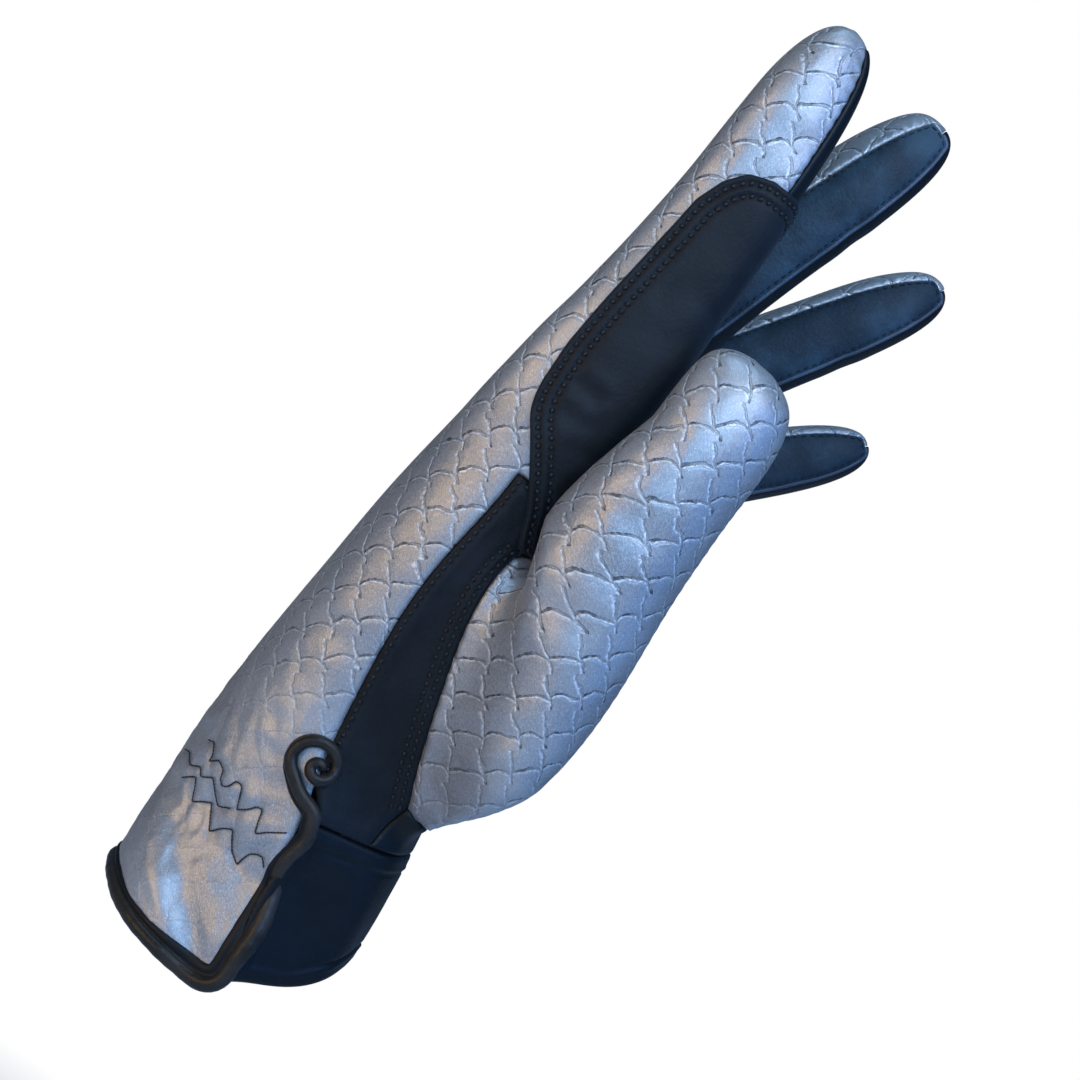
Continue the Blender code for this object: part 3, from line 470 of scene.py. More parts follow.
# %% Rings round the hand
def ring_of(row, vent):
    """Twenty-one control points round the hand: nine over the back from the thumb side, the little
    finger's side, nine over the palm, and the thumb side's edge twice, for the palm's side of the
    vent and for the back's."""
    low = lerp(-WRIST_BREADTH / 2, THUMB_SIDE, row["breadth"])
    high = lerp(WRIST_BREADTH / 2, THUMB_SIDE + BREADTH, row["breadth"])
    back = row["back"] * HAND_DEPTH
    palm = row["palm"] * HAND_DEPTH
    side = row["side"] * HAND_DEPTH
    seam = row["seam"] * HAND_DEPTH
    power = lerp(ROUND_SLIM, ROUND_FULL, row["breadth"])

    def height(share):
        return row["height"] * HAND_LENGTH - row["lower"] * HAND_LENGTH * share ** 2

    def bow(share):
        return (1 - abs(2 * share - 1) ** power) ** (1 / power)

    def shift(share):
        return row["shift"] * HAND_DEPTH * share ** 2

    middle = lerp(back, palm, 0.5)
    ring = []
    for share in DORSAL_SHARES:
        edge = lerp(side, middle, min(share * 2, 1.0))
        x = lerp(edge, back, bow(share)) + shift(share)
        ring.append(point(x, lerp(low, high, share), height(share)))
    ring.append(point(middle + shift(1), high, height(1)))
    for share in reversed(DORSAL_SHARES[1:]):
        edge = lerp(seam, middle, min(share * 2, 1.0))
        x = lerp(edge, palm, bow(share)) + shift(share)
        ring.append(point(x, lerp(low, high, share), height(share)))
    ring.append(point(seam, lerp(low, high, row["inset"]), height(row["inset"])))
    opening = BINDING_WIDTH + 2 * SEAM_GAP + vent if vent else 0.0
    ring.append(point(side + opening, low * VENT_STAND, height(0)))
    ring.append(point(side, low * VENT_STAND, height(0)))
    return ring


LITTLE_SIDE = 9
SEAM = 18
VENT_PALM = 19
VENT_BACK = 20
THUMB_HOLE_ROWS = 4
GUSSET_TOP = 9


def hand_rings():
    """All rings from the hem to just under the knuckles, and the row where the vent closes."""
    first = HAND_ROWS[0]
    cuff_top = ring_of(first, VENT_PLAY + VENT_EASE)
    for place in range(len(cuff_top)):
        x = max(cuff_top[place][0], 0.0)
        cuff_top[place][2] += CUFF_SEAM_SLANT * x
    rings = []
    for share, side, flare in zip(CUFF_ROWS, CUFF_SIDE, CUFF_FLARE):
        row = dict(first)
        row["side"] = side
        row["palm"] = first["palm"] + CUFF_EASE + flare / HAND_DEPTH
        row["back"] = first["back"] + HEM_DRAW * (1 - share)
        ring = ring_of(row, VENT_PLAY)
        for place, spot in enumerate(ring):
            reach = spot[1] / (WRIST_BREADTH / 2)
            drop = CUFF_DROP if reach < 0 else CUFF_DROP * LITTLE_DROP
            hem = CUFF_SLANT * spot[0] - drop * reach ** 2 + HEM_LIFT
            spot[2] = lerp(hem, cuff_top[place][2], share)
        rings.append(ring)
    rings.append(cuff_top)
    for row in HAND_ROWS[1:]:
        rings.append(ring_of(row, 0.0))
    return rings, len(CUFF_ROWS) + 1


# %% The ring through the knuckles, and the thumb's rings
def knuckle_ring(sections):
    """A ring through the four knuckle sections, with the points between two fingers shared."""
    ring = [sections[0][0]]
    for index in range(4):
        ring.append(sections[index][1])
        if index < 3:
            ring.append((sections[index][2] + sections[index + 1][0]) / 2)
    ring.append(sections[3][2])
    ring.append(sections[3][3])
    ring.append(sections[3][4])
    for index in (3, 2, 1, 0):
        ring.append(sections[index][5])
        if index > 0:
            ring.append((sections[index][6] + sections[index - 1][4]) / 2)
    ring.append(sections[0][6])
    ring.append(sections[0][7])
    ring.append(sections[0][7])
    return ring


def thumb_rings(foot, height):
    """The control points in each row of the thumb, from the side away from the hand, round by its
    near side. foot and height place the thumb's seam."""
    turn = math.radians(THUMB_TURN)
    rings = []
    for row in THUMB_ROWS:
        y = THUMB_SIDE - THUMB_OFFSET * row["y"]
        outer = point(foot + row["out_x"] * THUMB_WIDTH, y, height + row["out_z"] * THUMB_LENGTH)
        inner = point(foot + row["in_x"] * THUMB_WIDTH, y, height + row["in_z"] * THUMB_LENGTH)
        middle = (outer + inner) / 2
        arm = (outer - inner) / 2
        lean = point(0, -math.sin(turn), 0) * np.linalg.norm(arm)
        arm = arm * math.cos(turn) + lean * THUMB_LEAN
        near = unit(point(-math.sin(turn), -math.cos(turn), 0)) * row["depth"] * THUMB_THICKNESS / 2
        ring = []
        for step in range(THUMB_SIDES):
            angle = 2 * math.pi * step / THUMB_SIDES
            reach = arm * math.cos(angle) + near * math.sin(angle)
            ring.append(middle + reach * ROUND_THUMB)
        rings.append(ring)
    y = THUMB_SIDE - THUMB_OFFSET * THUMB_ROWS[-1]["y"]
    tip = point(foot + THUMB_TIP_X * THUMB_WIDTH, y, height + THUMB_LENGTH * THUMB_TIP_Z)
    return rings, tip


# %% [markdown]
# ## Cloth coordinates
# The fabric is embossed with scales while it is still flat, so the pattern has to follow the cloth
# and not the world. Each point of the cage gets the place that it would have on the flat cloth, in
# millimetres: round the hand or finger we add up short lengths, and along it we take the height.
# The scales stand askew to the hand, so both are turned by that angle. Subdivision then smooths
# these coordinates together with the shape.

# %% Unroll a ring, and turn it into the cloth's own directions
CLOTH_TURN = math.radians(PHOTO_ROLL)


def on_cloth(around, along):
    """Place on the flat cloth, across and up the scales."""
    across = math.cos(CLOTH_TURN) * around + math.sin(CLOTH_TURN) * along
    up = math.cos(CLOTH_TURN) * along - math.sin(CLOTH_TURN) * around
    return across, up


def level_gap(a, b):
    """Distance between two points, leaving out the height."""
    return math.hypot(a[0] - b[0], a[1] - b[1])


def unroll(ring, start, forward, backward):
    """Lengths round a ring from a starting place, which takes its own x."""
    around = {start: ring[start][0]}
    for order, sign in ((forward, -1), (backward, 1)):
        before = start
        for place in order:
            around[place] = around[before] + sign * level_gap(ring[place], ring[before])
            before = place
    return around


def finger_cloth(spots, middle, height):
    """Places on the cloth for the eight points of a finger's section, from its back's middle."""
    around = {1: middle}
    for order, sign in (((2, 3, 4, 5), -1), ((0, 7, 6), 1)):
        before = 1
        for place in order:
            gap = float(np.linalg.norm(spots[place] - spots[before]))
            around[place] = around[before] + sign * gap
            before = place
    return [on_cloth(around[place], height) for place in range(8)]


# %% A cage whose points also know their place on the cloth
class Cage:
    """The quads of the whole skin, with each one's panel and each point's place on the cloth."""

    def __init__(self):
        self.spots = []
        self.cloth = []
        self.faces = []
        self.panels = []

    def add(self, spot, cloth=(0.0, 0.0)):
        self.spots.append(spot)
        self.cloth.append(cloth)
        return len(self.spots) - 1

    def face(self, corners, panel):
        self.faces.append(corners)
        self.panels.append(panel)


def hand_panel(row, column, vent_rows):
    """The panel of the quad above a place in a ring of the hand."""
    if column <= LITTLE_SIDE:
        return "back_panel"
    if row < vent_rows - 1:
        return "cuff_band"
    if column == SEAM:
        return "side_gusset" if row < GUSSET_TOP else "back_panel"
    return "palm_panel"


# %% Rings of the hand
def add_hand(cage, roots, knuckles):
    """All rings of the hand, as numbers of the cage's points, and the row where the vent closes."""
    rings, vent_rows = hand_rings()
    rings.append(knuckle_ring(knuckles))
    rings.append(knuckle_ring(roots))
    grid = []
    for level, ring in enumerate(rings):
        around = unroll(ring, VENT_BACK, range(0, LITTLE_SIDE + 2), (SEAM, SEAM - 1))
        numbers = []
        for place in range(VENT_PALM):
            cloth = on_cloth(around.get(place, 0.0), ring[place][2])
            numbers.append(cage.add(ring[place], cloth))
        back = cage.add(ring[VENT_BACK], on_cloth(around[VENT_BACK], ring[VENT_BACK][2]))
        palm = cage.add(ring[VENT_PALM]) if level < vent_rows else back
        grid.append(numbers + [palm, back])
    for level, (low, high) in enumerate(zip(grid, grid[1:])):
        hole = vent_rows <= level < vent_rows + THUMB_HOLE_ROWS
        for column in range(20):
            if column == VENT_PALM or hole and column in (SEAM - 1, SEAM - 2):
                continue
            corners = (low[column], low[column + 1], high[column + 1], high[column])
            cage.face(corners, hand_panel(level, column, vent_rows))
        cage.face((low[VENT_BACK], low[0], high[0], high[VENT_BACK]), "back_panel")
    return grid, vent_rows


# %% Fingers, with one point at the foot of each gap between two of them
def side_panels(index):
    """The panels of the eight quads round a finger."""
    near = "back_panel"
    far = "back_panel"
    if index > 0:
        near = "fourchette_" + FINGERS[index - 1]["name"] + "_" + FINGERS[index]["name"]
    if index < 3:
        far = "fourchette_" + FINGERS[index]["name"] + "_" + FINGERS[index + 1]["name"]
    return "back_panel", "back_panel", far, far, "palm_panel", "palm_panel", near, near


def add_finger(cage, index, lower, rows, tip):
    """Rows of a finger above its root ring, closed by four quads round the tip."""
    root = cage.spots[lower[1]]
    middle = cage.cloth[lower[1]]
    around = math.cos(CLOTH_TURN) * middle[0] - math.sin(CLOTH_TURN) * middle[1]
    finger = FINGERS[index]
    panels = side_panels(index)
    for row, spots in zip(FINGER_ROWS[1:], rows):
        height = root[2] + (finger["length"] - finger["web"]) * row["along"]
        upper = [cage.add(*pair) for pair in zip(spots, finger_cloth(spots, around, height))]
        for place in range(8):
            after = (place + 1) % 8
            cage.face((lower[place], lower[after], upper[after], upper[place]), panels[place])
        lower = upper
    end = cage.add(tip, cage.cloth[lower[0]])
    cage.face((lower[7], lower[0], lower[1], end), "back_panel")
    cage.face((lower[1], lower[2], lower[3], end), "back_panel")
    cage.face((lower[3], lower[4], lower[5], end), "palm_panel")
    cage.face((lower[5], lower[6], lower[7], end), "palm_panel" if index else "back_panel")


# %% Thumb, from the rim of its hole
def add_thumb(cage, grid, vent_rows):
    """Rows of the thumb above the rim of its hole, closed round its tip."""
    low = vent_rows
    high = vent_rows + THUMB_HOLE_ROWS
    near = [grid[level][SEAM] for level in range(low, high + 1)]
    far = [grid[level][SEAM - 2] for level in range(high, low - 1, -1)]
    lower = [grid[low][SEAM - 1]] + near + [grid[high][SEAM - 1]] + far
    rings, tip = thumb_rings(HAND_ROWS[5]["seam"] * HAND_DEPTH, HAND_ROWS[1]["height"] * HAND_LENGTH)
    first = unroll(rings[0], 3, (4, 5, 6, 7), (2, 1, 0, 11, 10))
    for place, number in enumerate(lower):
        spot = cage.spots[number]
        around = first.get(place, 0.0) + spot[0] - rings[0][place][0]
        cage.cloth[number] = on_cloth(around, spot[2])
    for ring in rings:
        around = unroll(ring, 3, (4, 5, 6, 7), (2, 1, 0, 11, 10))
        upper = []
        for place, spot in enumerate(ring):
            upper.append(cage.add(spot, on_cloth(around.get(place, 0.0), spot[2])))
        for place in range(THUMB_SIDES):
            after = (place + 1) % THUMB_SIDES
            panel = "thumb_back" if place < 6 or place == 11 else "thumb_palm"
            cage.face((lower[place], lower[after], upper[after], upper[place]), panel)
        lower = upper
    end = cage.add(tip, on_cloth(tip[0], tip[2]))
    for place in range(0, THUMB_SIDES, 2):
        before = (place - 1) % THUMB_SIDES
        panel = "thumb_back" if place < 7 else "thumb_palm"
        cage.face((lower[before], lower[place], lower[(place + 1) % THUMB_SIDES], end), panel)


# %% Build the cage
def build_cage():
    cage = Cage()
    parts = [finger_sections(index) for index in range(4)]
    roots = [sections[0] for knuckle, sections, tip in parts]
    grid, vent_rows = add_hand(cage, roots, [knuckle for knuckle, sections, tip in parts])
    top = grid[-1]
    crotches = []
    for index in range(3):
        spot = (roots[index][3] + roots[index + 1][7]) / 2
        cloth = cage.cloth[top[2 * index + 2]]
        crotches.append(cage.add(spot - point(0, 0, CROTCH_DROP), cloth))
    for index, (knuckle, sections, tip) in enumerate(parts):
        back = 2 * index
        palm = 18 - 2 * index
        left = top[VENT_BACK] if index == 0 else crotches[index - 1]
        right = top[LITTLE_SIDE] if index == 3 else crotches[index]
        lower = [top[back], top[back + 1], top[back + 2], right,
                 top[palm - 2], top[palm - 1], top[palm], left]
        add_finger(cage, index, lower, sections[1:], tip)
    add_thumb(cage, grid, vent_rows)
    return cage


cage = build_cage()
PANELS = ("back_panel", "thumb_back", "thumb_palm", "palm_panel", "side_gusset", "cuff_band",
          "fourchette_index_middle", "fourchette_middle_ring", "fourchette_ring_little")
print("cage:", len(cage.spots), "points,", len(cage.faces), "quads")

# %% [markdown]
# ## From the cage to a fine skin
# Subdivision turns the coarse cage into a smooth skin, as a tailor's dummy under the cloth. We take
# two of them: a fine one for the outsides, with a point every half millimetre, and a coarser one for
# the linings, which are seen only down the wrist. From here on we work on the points with numpy,
# because folds, creases and rolled edges are all small moves along the skin's own normals.

# %% Subdivide, and read the points, normals and panels back
def read_all(items, name, width=1, kind=float):
    """One value, or a row of them, for each item of a mesh."""
    values = np.empty(len(items) * width, dtype=kind)
    items.foreach_get(name, values)
    return values.reshape(-1, width) if width > 1 else values


def add_cloth(mesh, cloth):
    """Keep each point's place on the flat cloth in the mesh."""
    corners = read_all(mesh.loops, "vertex_index", kind=int)
    layer = mesh.uv_layers.new(name="cloth")
    layer.uv.foreach_set("vector", np.asarray(cloth)[corners].ravel())


def fine_skin(levels):
    """The cage's skin at a subdivision level, as arrays."""
    mesh = bpy.data.meshes.new("skin")
    mesh.from_pydata([tuple(spot * MM) for spot in cage.spots], [], cage.faces)
    for panel in PANELS:
        mesh.materials.append(None)
    mesh.polygons.foreach_set("material_index", [PANELS.index(panel) for panel in cage.panels])
    add_cloth(mesh, cage.cloth)
    guide = add_object("skin", mesh)
    smooth = guide.modifiers.new("smooth", "SUBSURF")
    smooth.levels = levels
    smooth.render_levels = levels
    smooth.use_limit_surface = False
    smooth.boundary_smooth = "PRESERVE_CORNERS"
    graph = bpy.context.evaluated_depsgraph_get()
    done = bpy.data.meshes.new_from_object(guide.evaluated_get(graph))
    bpy.data.objects.remove(guide, do_unlink=True)
    spots = read_all(done.vertices, "co", 3) / MM
    normals = read_all(done.vertex_normals, "vector", 3)
    quads = read_all(done.loops, "vertex_index", kind=int)
    flat = np.zeros((len(spots), 2))
    flat[quads] = read_all(done.uv_layers["cloth"].uv, "vector", 2)
    owner = read_all(done.polygons, "material_index", kind=int)
    if normals[np.argmin(spots[:, 0]), 0] > 0:
        normals = -normals
        quads = quads.reshape(-1, 4)[:, ::-1]
    return dict(spots=spots, normals=normals, quads=quads.reshape(-1, 4), cloth=flat, owner=owner)


def points_of(skin, node):
    """Numbers of a panel's points in a skin."""
    return skin["quads"][skin["owner"] == PANELS.index(node)].ravel()


fine = fine_skin(4)
coarse = fine_skin(3)


# %% Draw the thumb's root smooth, as cloth that bridges from the thumb to the hand
def bridge(skin, middle, reach, rounds):
    """Points near a middle are drawn to the mean of their neighbours, again and again."""
    away = np.linalg.norm((skin["spots"] - middle) / reach, axis=1)
    weight = np.clip(1.6 - 1.6 * away, 0.0, 1.0)
    quads = skin["quads"]
    pairs = edges_of(quads)
    pairs = pairs[np.any(weight[pairs] > 0, axis=1)]
    used, local = np.unique(pairs, return_inverse=True)
    local = local.reshape(-1, 2)
    spots = skin["spots"][used]
    pull = weight[used][:, None]
    count = len(used)
    number = np.bincount(local.ravel(), minlength=count)
    for _ in range(rounds):
        total = np.stack([np.bincount(local[:, 0], spots[local[:, 1], axis], count) +
                          np.bincount(local[:, 1], spots[local[:, 0], axis], count)
                          for axis in range(3)], axis=1)
        spots = spots + pull * 0.8 * (total / number[:, None] - spots)
    skin["spots"] = skin["spots"].copy()
    skin["spots"][used] = spots


def new_normals(skin):
    """Normals of the points, from the quads round them."""
    spots = skin["spots"]
    quads = skin["quads"]
    face = np.cross(spots[quads[:, 2]] - spots[quads[:, 0]], spots[quads[:, 3]] - spots[quads[:, 1]])
    total = np.zeros_like(spots)
    for column in range(4):
        for axis in range(3):
            total[:, axis] += np.bincount(quads[:, column], face[:, axis], len(spots))
    skin["normals"] = total / np.maximum(np.linalg.norm(total, axis=1), 1e-9)[:, None]


# %% Lean the thumb's root over the gusset and the patch
# Heights above the wrist opening and how far the root leans there, in millimetres.
LEAN = ((74, 0.0), (80, 1.2), (86, 3.6), (92, 5.2), (98, 5.6), (107, 4.6), (116, 3.0), (124, 1.6),
        (132, 0.0))


def lean_root(skin):
    """The thumb's near side moves towards the back of the hand, so its outline is one long curve."""
    spots = skin["spots"].copy()
    heights, moves = zip(*LEAN)
    near_side = step_of(spots[:, 1], -33.0, -42.0)
    left_half = step_of(spots[:, 0], 27.0, 13.0)
    off_finger = step_of(spots[:, 0], 3.5, 8.5)
    spots[:, 0] -= np.interp(spots[:, 2], heights, moves) * near_side * left_half * off_finger
    skin["spots"] = spots


THUMB_ROOT = np.array((6.5, -36.0, 88.0))
# A skin with closer points needs more rounds for the same bridge.
for skin, rounds in ((fine, 4), (coarse, 1)):
    bridge(skin, THUMB_ROOT, (12.0, 16.0, 14.0), 65 * rounds)
    lean_root(skin)
    bridge(skin, THUMB_ROOT + np.array((2.0, -4.0, 8.0)), (12.0, 16.0, 26.0), 9 * rounds)
    bridge(skin, THUMB_ROOT + np.array((-0.5, -2.0, 3.0)), (9.0, 14.0, 13.0), 80 * rounds)
    new_normals(skin)
print("fine skin:", len(fine["spots"]), "points, coarse:", len(coarse["spots"]))

# %% [markdown]
# ## Folds of the worn cloth
# A glove on a hand isn't a smooth balloon. The elastic at the wrist draws the back in along a
# slanting fold and the hem flares below it. A second fold hangs down the wrist's thumb side, where
# one side faces the light and the other turns away. Fingers and thumb have soft creases where they
# bend. Each fold is a move along the normal, as a function of the distance to its line.

# %% Points from the picture, and distances to lines
def from_photo(pixels, depth=-27.0):
    """Points of the x-z plane, in millimetres, for points of the picture at a depth behind y = 0."""
    turn = math.radians(90 - PHOTO_ROLL)
    spots = []
    for column, row in pixels:
        right = column - PHOTO_ZERO[0]
        up = PHOTO_ZERO[1] - row
        x = right * math.sin(turn) - up * math.cos(turn)
        z = right * math.cos(turn) + up * math.sin(turn)
        spots.append((x * PHOTO_PIXEL, z * PHOTO_PIXEL))
    aim = np.array((CAMERA_AIM.x, CAMERA_AIM.z)) / MM
    return aim + (np.array(spots) - aim) * (1 + depth / (CAMERA_DISTANCE / MM))


def to_line(spots, line):
    """For each point its distance to a line in the x-z plane, the side it lies on, and how far
    along the line it is."""
    flat = spots[:, (0, 2)]
    best = np.full(len(flat), 1e9)
    side = np.zeros(len(flat))
    along = np.zeros(len(flat))
    lengths = np.linalg.norm(np.diff(line, axis=0), axis=1)
    total = lengths.sum()
    run = 0.0
    for start, end, length in zip(line, line[1:], lengths):
        way = (end - start) / length
        reach = np.clip((flat - start) @ way, 0, length)
        gap = flat - start - reach[:, None] * way
        distance = np.linalg.norm(gap, axis=1)
        closer = distance < best
        best = np.where(closer, distance, best)
        side = np.where(closer, np.sign(way[0] * gap[:, 1] - way[1] * gap[:, 0]), side)
        along = np.where(closer, (run + reach) / total, along)
        run += length
    return best, side, along


# %% The wrist's folds
WRIST_FOLD = from_photo([(178, 740), (165, 768), (157, 794), (156, 830), (160, 865), (178, 912),
                         (204, 957)])
WRIST_FOLD_DEPTH = 3.4
WRIST_FOLD_SLOPE = 8.5     # width of the step down
WRIST_FOLD_FOOT = 17.0     # its slope is wider at the hem
WRIST_FOLD_RETURN = 13.0   # and of the slow way back up


def slanting_fold(spots):
    """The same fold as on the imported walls."""
    back = HAND_ROWS[0]["back"] * HAND_DEPTH
    far = WRIST_BREADTH / 2
    line = lerp(FOLD_BACK_Z, FOLD_SIDE_Z, share_of(spots[:, 0], back, 0.0))
    away = spots[:, 2] - line
    dent = np.exp(-(away / FOLD_WIDTH) ** 2)
    dent -= FLARE_SHARE * np.exp(-((away + FLARE_BELOW) / FLARE_WIDTH) ** 2)
    fade = share_of(spots[:, 0], back, back + FOLD_FADE)
    fade *= share_of(spots[:, 0], FOLD_FADE, 0.0) * share_of(spots[:, 1], far, far - FOLD_FADE)
    fade[spots[:, 2] > HAND_ROWS[1]["height"] * HAND_LENGTH] = 0.0
    return -dent * fade * FOLD_DEPTH


def hanging_fold(spots):
    """A step down on the palm's side of a line down the wrist, which comes back slowly."""
    distance, side, along = to_line(spots, WRIST_FOLD)
    right = distance * np.where(side > 0, 1, -1)
    slope = lerp(WRIST_FOLD_SLOPE, WRIST_FOLD_FOOT, step_of(along, 0.3, 0.9))
    down = step_of(right, -1.0, slope)
    back = 1 - step_of(right, slope, slope + WRIST_FOLD_RETURN)
    crest = 0.45 * np.exp(-((right + 2.0) / 2.6) ** 2)
    reach = step_of(along, 0.0, 0.3) * (1 - 0.5 * step_of(along, 0.8, 1.0))
    near = step_of(spots[:, 1], -4.0, -14.0)
    return (-WRIST_FOLD_DEPTH * down * back + crest) * reach * near


# %% Creases of the thumb, the fingers and the gathers of the wrist
# near is the y up to which a crease reaches, so that it stays on the side that it was seen on.
CREASES = rows_of(
    "line width depth near",
    ([(372, 700), (420, 640), (476, 560)], 2.4, 0.35, -10.0),
    ([(300, 600), (345, 640), (392, 668)], 3.0, 0.30, -10.0),
    ([(452, 740), (500, 728), (560, 748)], 2.6, 0.40, -26.0),
    ([(470, 770), (520, 765), (560, 770)], 2.2, 0.30, -26.0),
    ([(500, 612), (540, 598), (600, 640)], 3.2, 0.35, -26.0),
    ([(566, 500), (612, 505), (668, 560)], 3.0, 0.30, -26.0),
    ([(640, 300), (690, 300), (720, 330)], 3.2, 0.35, -18.0),
    ([(740, 122), (790, 150), (820, 160)], 3.0, 0.25, -18.0),
    ([(830, 205), (852, 226), (866, 246)], 2.4, 0.18, 40.0),
    ([(838, 290), (850, 330), (858, 372)], 2.4, 0.18, 40.0),
    ([(800, 424), (812, 452), (818, 488)], 2.2, 0.18, 40.0),
)


GATHER_HEIGHT = 0.16
WRINKLE_HEIGHT = 0.30
SWELL_HEIGHT = 0.22       # slow unevenness all over


def soft_creases(spots):
    """Shallow troughs with a low ridge on both sides."""
    move = np.zeros(len(spots))
    for crease in CREASES:
        distance, _, along = to_line(spots, from_photo(crease["line"]))
        fade = step_of(along, 0.0, 0.25) * step_of(along, 1.0, 0.75)
        near = step_of(spots[:, 1], crease["near"] + 6, crease["near"] - 2)
        reach = distance / crease["width"]
        trough = np.exp(-reach ** 2) - 0.45 * np.exp(-(reach - 2.0) ** 2)
        move -= trough * crease["depth"] * fade * near
    return move


def wrist_gathers(spots):
    """Little ripples where the elastic pulls the back of the wrist together."""
    inside = step_of(spots[:, 2], 4.0, 13.0) * step_of(spots[:, 2], 46.0, 30.0)
    inside *= step_of(spots[:, 0], 6.0, -4.0)
    # Waves that cross each other look gathered rather than pleated.
    ripple = np.sin(spots[:, 0] * 1.15 + 0.5 * spots[:, 2]) * np.sin(spots[:, 1] * 0.55 + 1.0)
    ripple += 0.6 * np.sin(spots[:, 2] * 0.9 - 0.35 * spots[:, 0] + 2.0)
    return GATHER_HEIGHT * ripple * inside


def fine_wrinkles(skin):
    """Small upright wrinkles of the worn fabric, strongest at the wrist."""
    cloth = skin["cloth"]
    spots = skin["spots"]
    fabric = np.zeros(len(spots), dtype=bool)
    fabric[skin["quads"][skin["owner"] <= 1].ravel()] = True
    wrist = step_of(spots[:, 2], 66.0, 34.0) * step_of(spots[:, 1], 14.0, -8.0)
    move = np.zeros(len(spots))
    for place in np.flatnonzero(fabric):
        across, up = cloth[place]
        where = Vector((across * 0.34, up * 0.11, 0.0))
        ridge = 1.0 - 2.0 * abs(noise.noise(where)) - 0.5 * abs(noise.noise(where * 2.3))
        soft = noise.noise(Vector((across * 0.085, up * 0.06, 7.0)))
        move[place] = WRINKLE_HEIGHT * wrist[place] * ridge + SWELL_HEIGHT * soft
    return move


# %% The cuff band sags a little and reaches under the binding
CUFF_SAG = 3.0
CUFF_REACH = 3.4
# How far each panel takes part. On a shared border the later one counts.
CUFF_SHARES = (("side_gusset", 0.6), ("palm_panel", 0.0), ("cuff_band", 1.0), ("back_panel", 0.0))


def settle_cuff(skin):
    """Move the cuff band's points down in the picture round its hem, and its front edge forward."""
    owned = np.zeros(len(skin["spots"]))
    for node, share in CUFF_SHARES:
        owned[points_of(skin, node)] = share
    spots = skin["spots"]
    middle, side, below = from_photo([(282, 970), (312, 970), (282, 992)])
    gap = spots[:, (0, 2)] - middle
    wide = (gap @ (side - middle)) / np.linalg.norm(side - middle) / (38 * PHOTO_PIXEL)
    tall = (gap @ (below - middle)) / np.linalg.norm(below - middle) / (26 * PHOTO_PIXEL)
    down = (below - middle) / np.linalg.norm(below - middle)
    near = step_of(spots[:, 1], -2.0, -10.0) * owned
    sag = CUFF_SAG * np.exp(-wide ** 2 - tall ** 2) * near
    front = from_photo([(314, 775), (322, 831), (235, 981)])
    distance, _, along = to_line(spots, front)
    reach = CUFF_REACH * step_of(distance, 14.0, 1.0) * near * step_of(along, 0.0, 0.25)
    reach = reach * (1 - 0.5 * step_of(along, 0.75, 1.0))
    moved = spots.copy()
    moved[:, 0] += down[0] * sag - reach
    moved[:, 2] += down[1] * sag
    skin["spots"] = moved


def on_back(skin):
    """One for the points of the back panel and the thumb, nought for the rest."""
    share = np.zeros(len(skin["spots"]))
    for node in ("back_panel", "thumb_back"):
        share[points_of(skin, node)] = 1.0
    return share


for skin in (fine, coarse):
    settle_cuff(skin)
    spots = skin["spots"]
    skin["spots"] = spots + skin["normals"] * fine_wrinkles(skin)[:, None]
    spots = skin["spots"]
    move = hanging_fold(spots) * on_back(skin)
    move += slanting_fold(spots) + soft_creases(spots) + wrist_gathers(spots)
    skin["spots"] = spots + skin["normals"] * move[:, None]
print("deepest fold:", round(float(-move.min()), 2), "mm")

# %% [markdown]
# ## Finishes
# A few finishes make the glove. The fabric is a satin with a fine metallic fleck and an embossed
# pattern of scales, drawn here with plain arithmetic on the cloth coordinates, because its lines are
# too thin for geometry; its lines carry painted shade and painted highlights. The leather is matt and
# slightly napped, so it gets a fine grain, a soft mottling and a faint sheen. The binding is the same
# leather pulled smooth over a cord, with painted warm light on its roll and painted shade on its lip.

# %% Arithmetic with shader sockets
class Wire:
    """An output in a material's tree. Signs between wires and numbers add Math nodes."""

    def __init__(self, tree, socket):
        self.tree = tree
        self.socket = socket

    def math(self, operation, *others):
        values = {"_" + str(place): value for place, value in enumerate((self, *others))}
        made = add_node(self.tree, "ShaderNodeMath", dict(operation=operation), **values)
        return Wire(self.tree, made.outputs[0])

    def __add__(self, other):
        return self.math("ADD", other)

    def __sub__(self, other):
        return self.math("SUBTRACT", other)

    def __rsub__(self, other):
        return self.math("MULTIPLY_ADD", -1.0, other)

    def __mul__(self, other):
        return self.math("MULTIPLY", other)

    def __truediv__(self, other):
        return self.math("DIVIDE", other)

    def __pow__(self, other):
        return self.math("POWER", other)

    def top(self, other):
        """The larger of the two."""
        return self.math("MAXIMUM", other)

    def fade(self, low, high):
        """A smooth step from 0 at low to 1 at high."""
        made = add_node(self.tree, "ShaderNodeMapRange", dict(interpolation_type="SMOOTHSTEP"),
                        Value=self, From_Min=low, From_Max=high)
        return Wire(self.tree, made.outputs["Result"])


class Paint:
    """A finish, with short ways to add textures and to fill its shader's inputs."""

    def __init__(self, name, roughness, specular=0.5):
        self.finish, self.tree, self.shader = new_material(name)
        self.where = self.add("TexCoord", None, "Object")
        self.fill(Roughness=roughness, Specular_IOR_Level=specular)

    def add(self, kind, settings, output, **inputs):
        made = add_node(self.tree, "ShaderNode" + kind, settings, **inputs)
        return Wire(self.tree, made.outputs[output])

    def fill(self, **inputs):
        fill_inputs(self.tree, self.shader, inputs)

    def noise(self, where, scale, detail, rough):
        return self.add("TexNoise", None, "Fac", Vector=where, Scale=scale, Detail=detail,
                        Roughness=rough)

    def mix(self, share, low, high):
        return self.add("Mix", dict(data_type="RGBA"), 2, Factor=share, _6=low, _7=high)

    def bump(self, height, strength, distance, **normal):
        return self.add("Bump", None, "Normal", Height=height, Strength=strength, Distance=distance,
                        **normal)
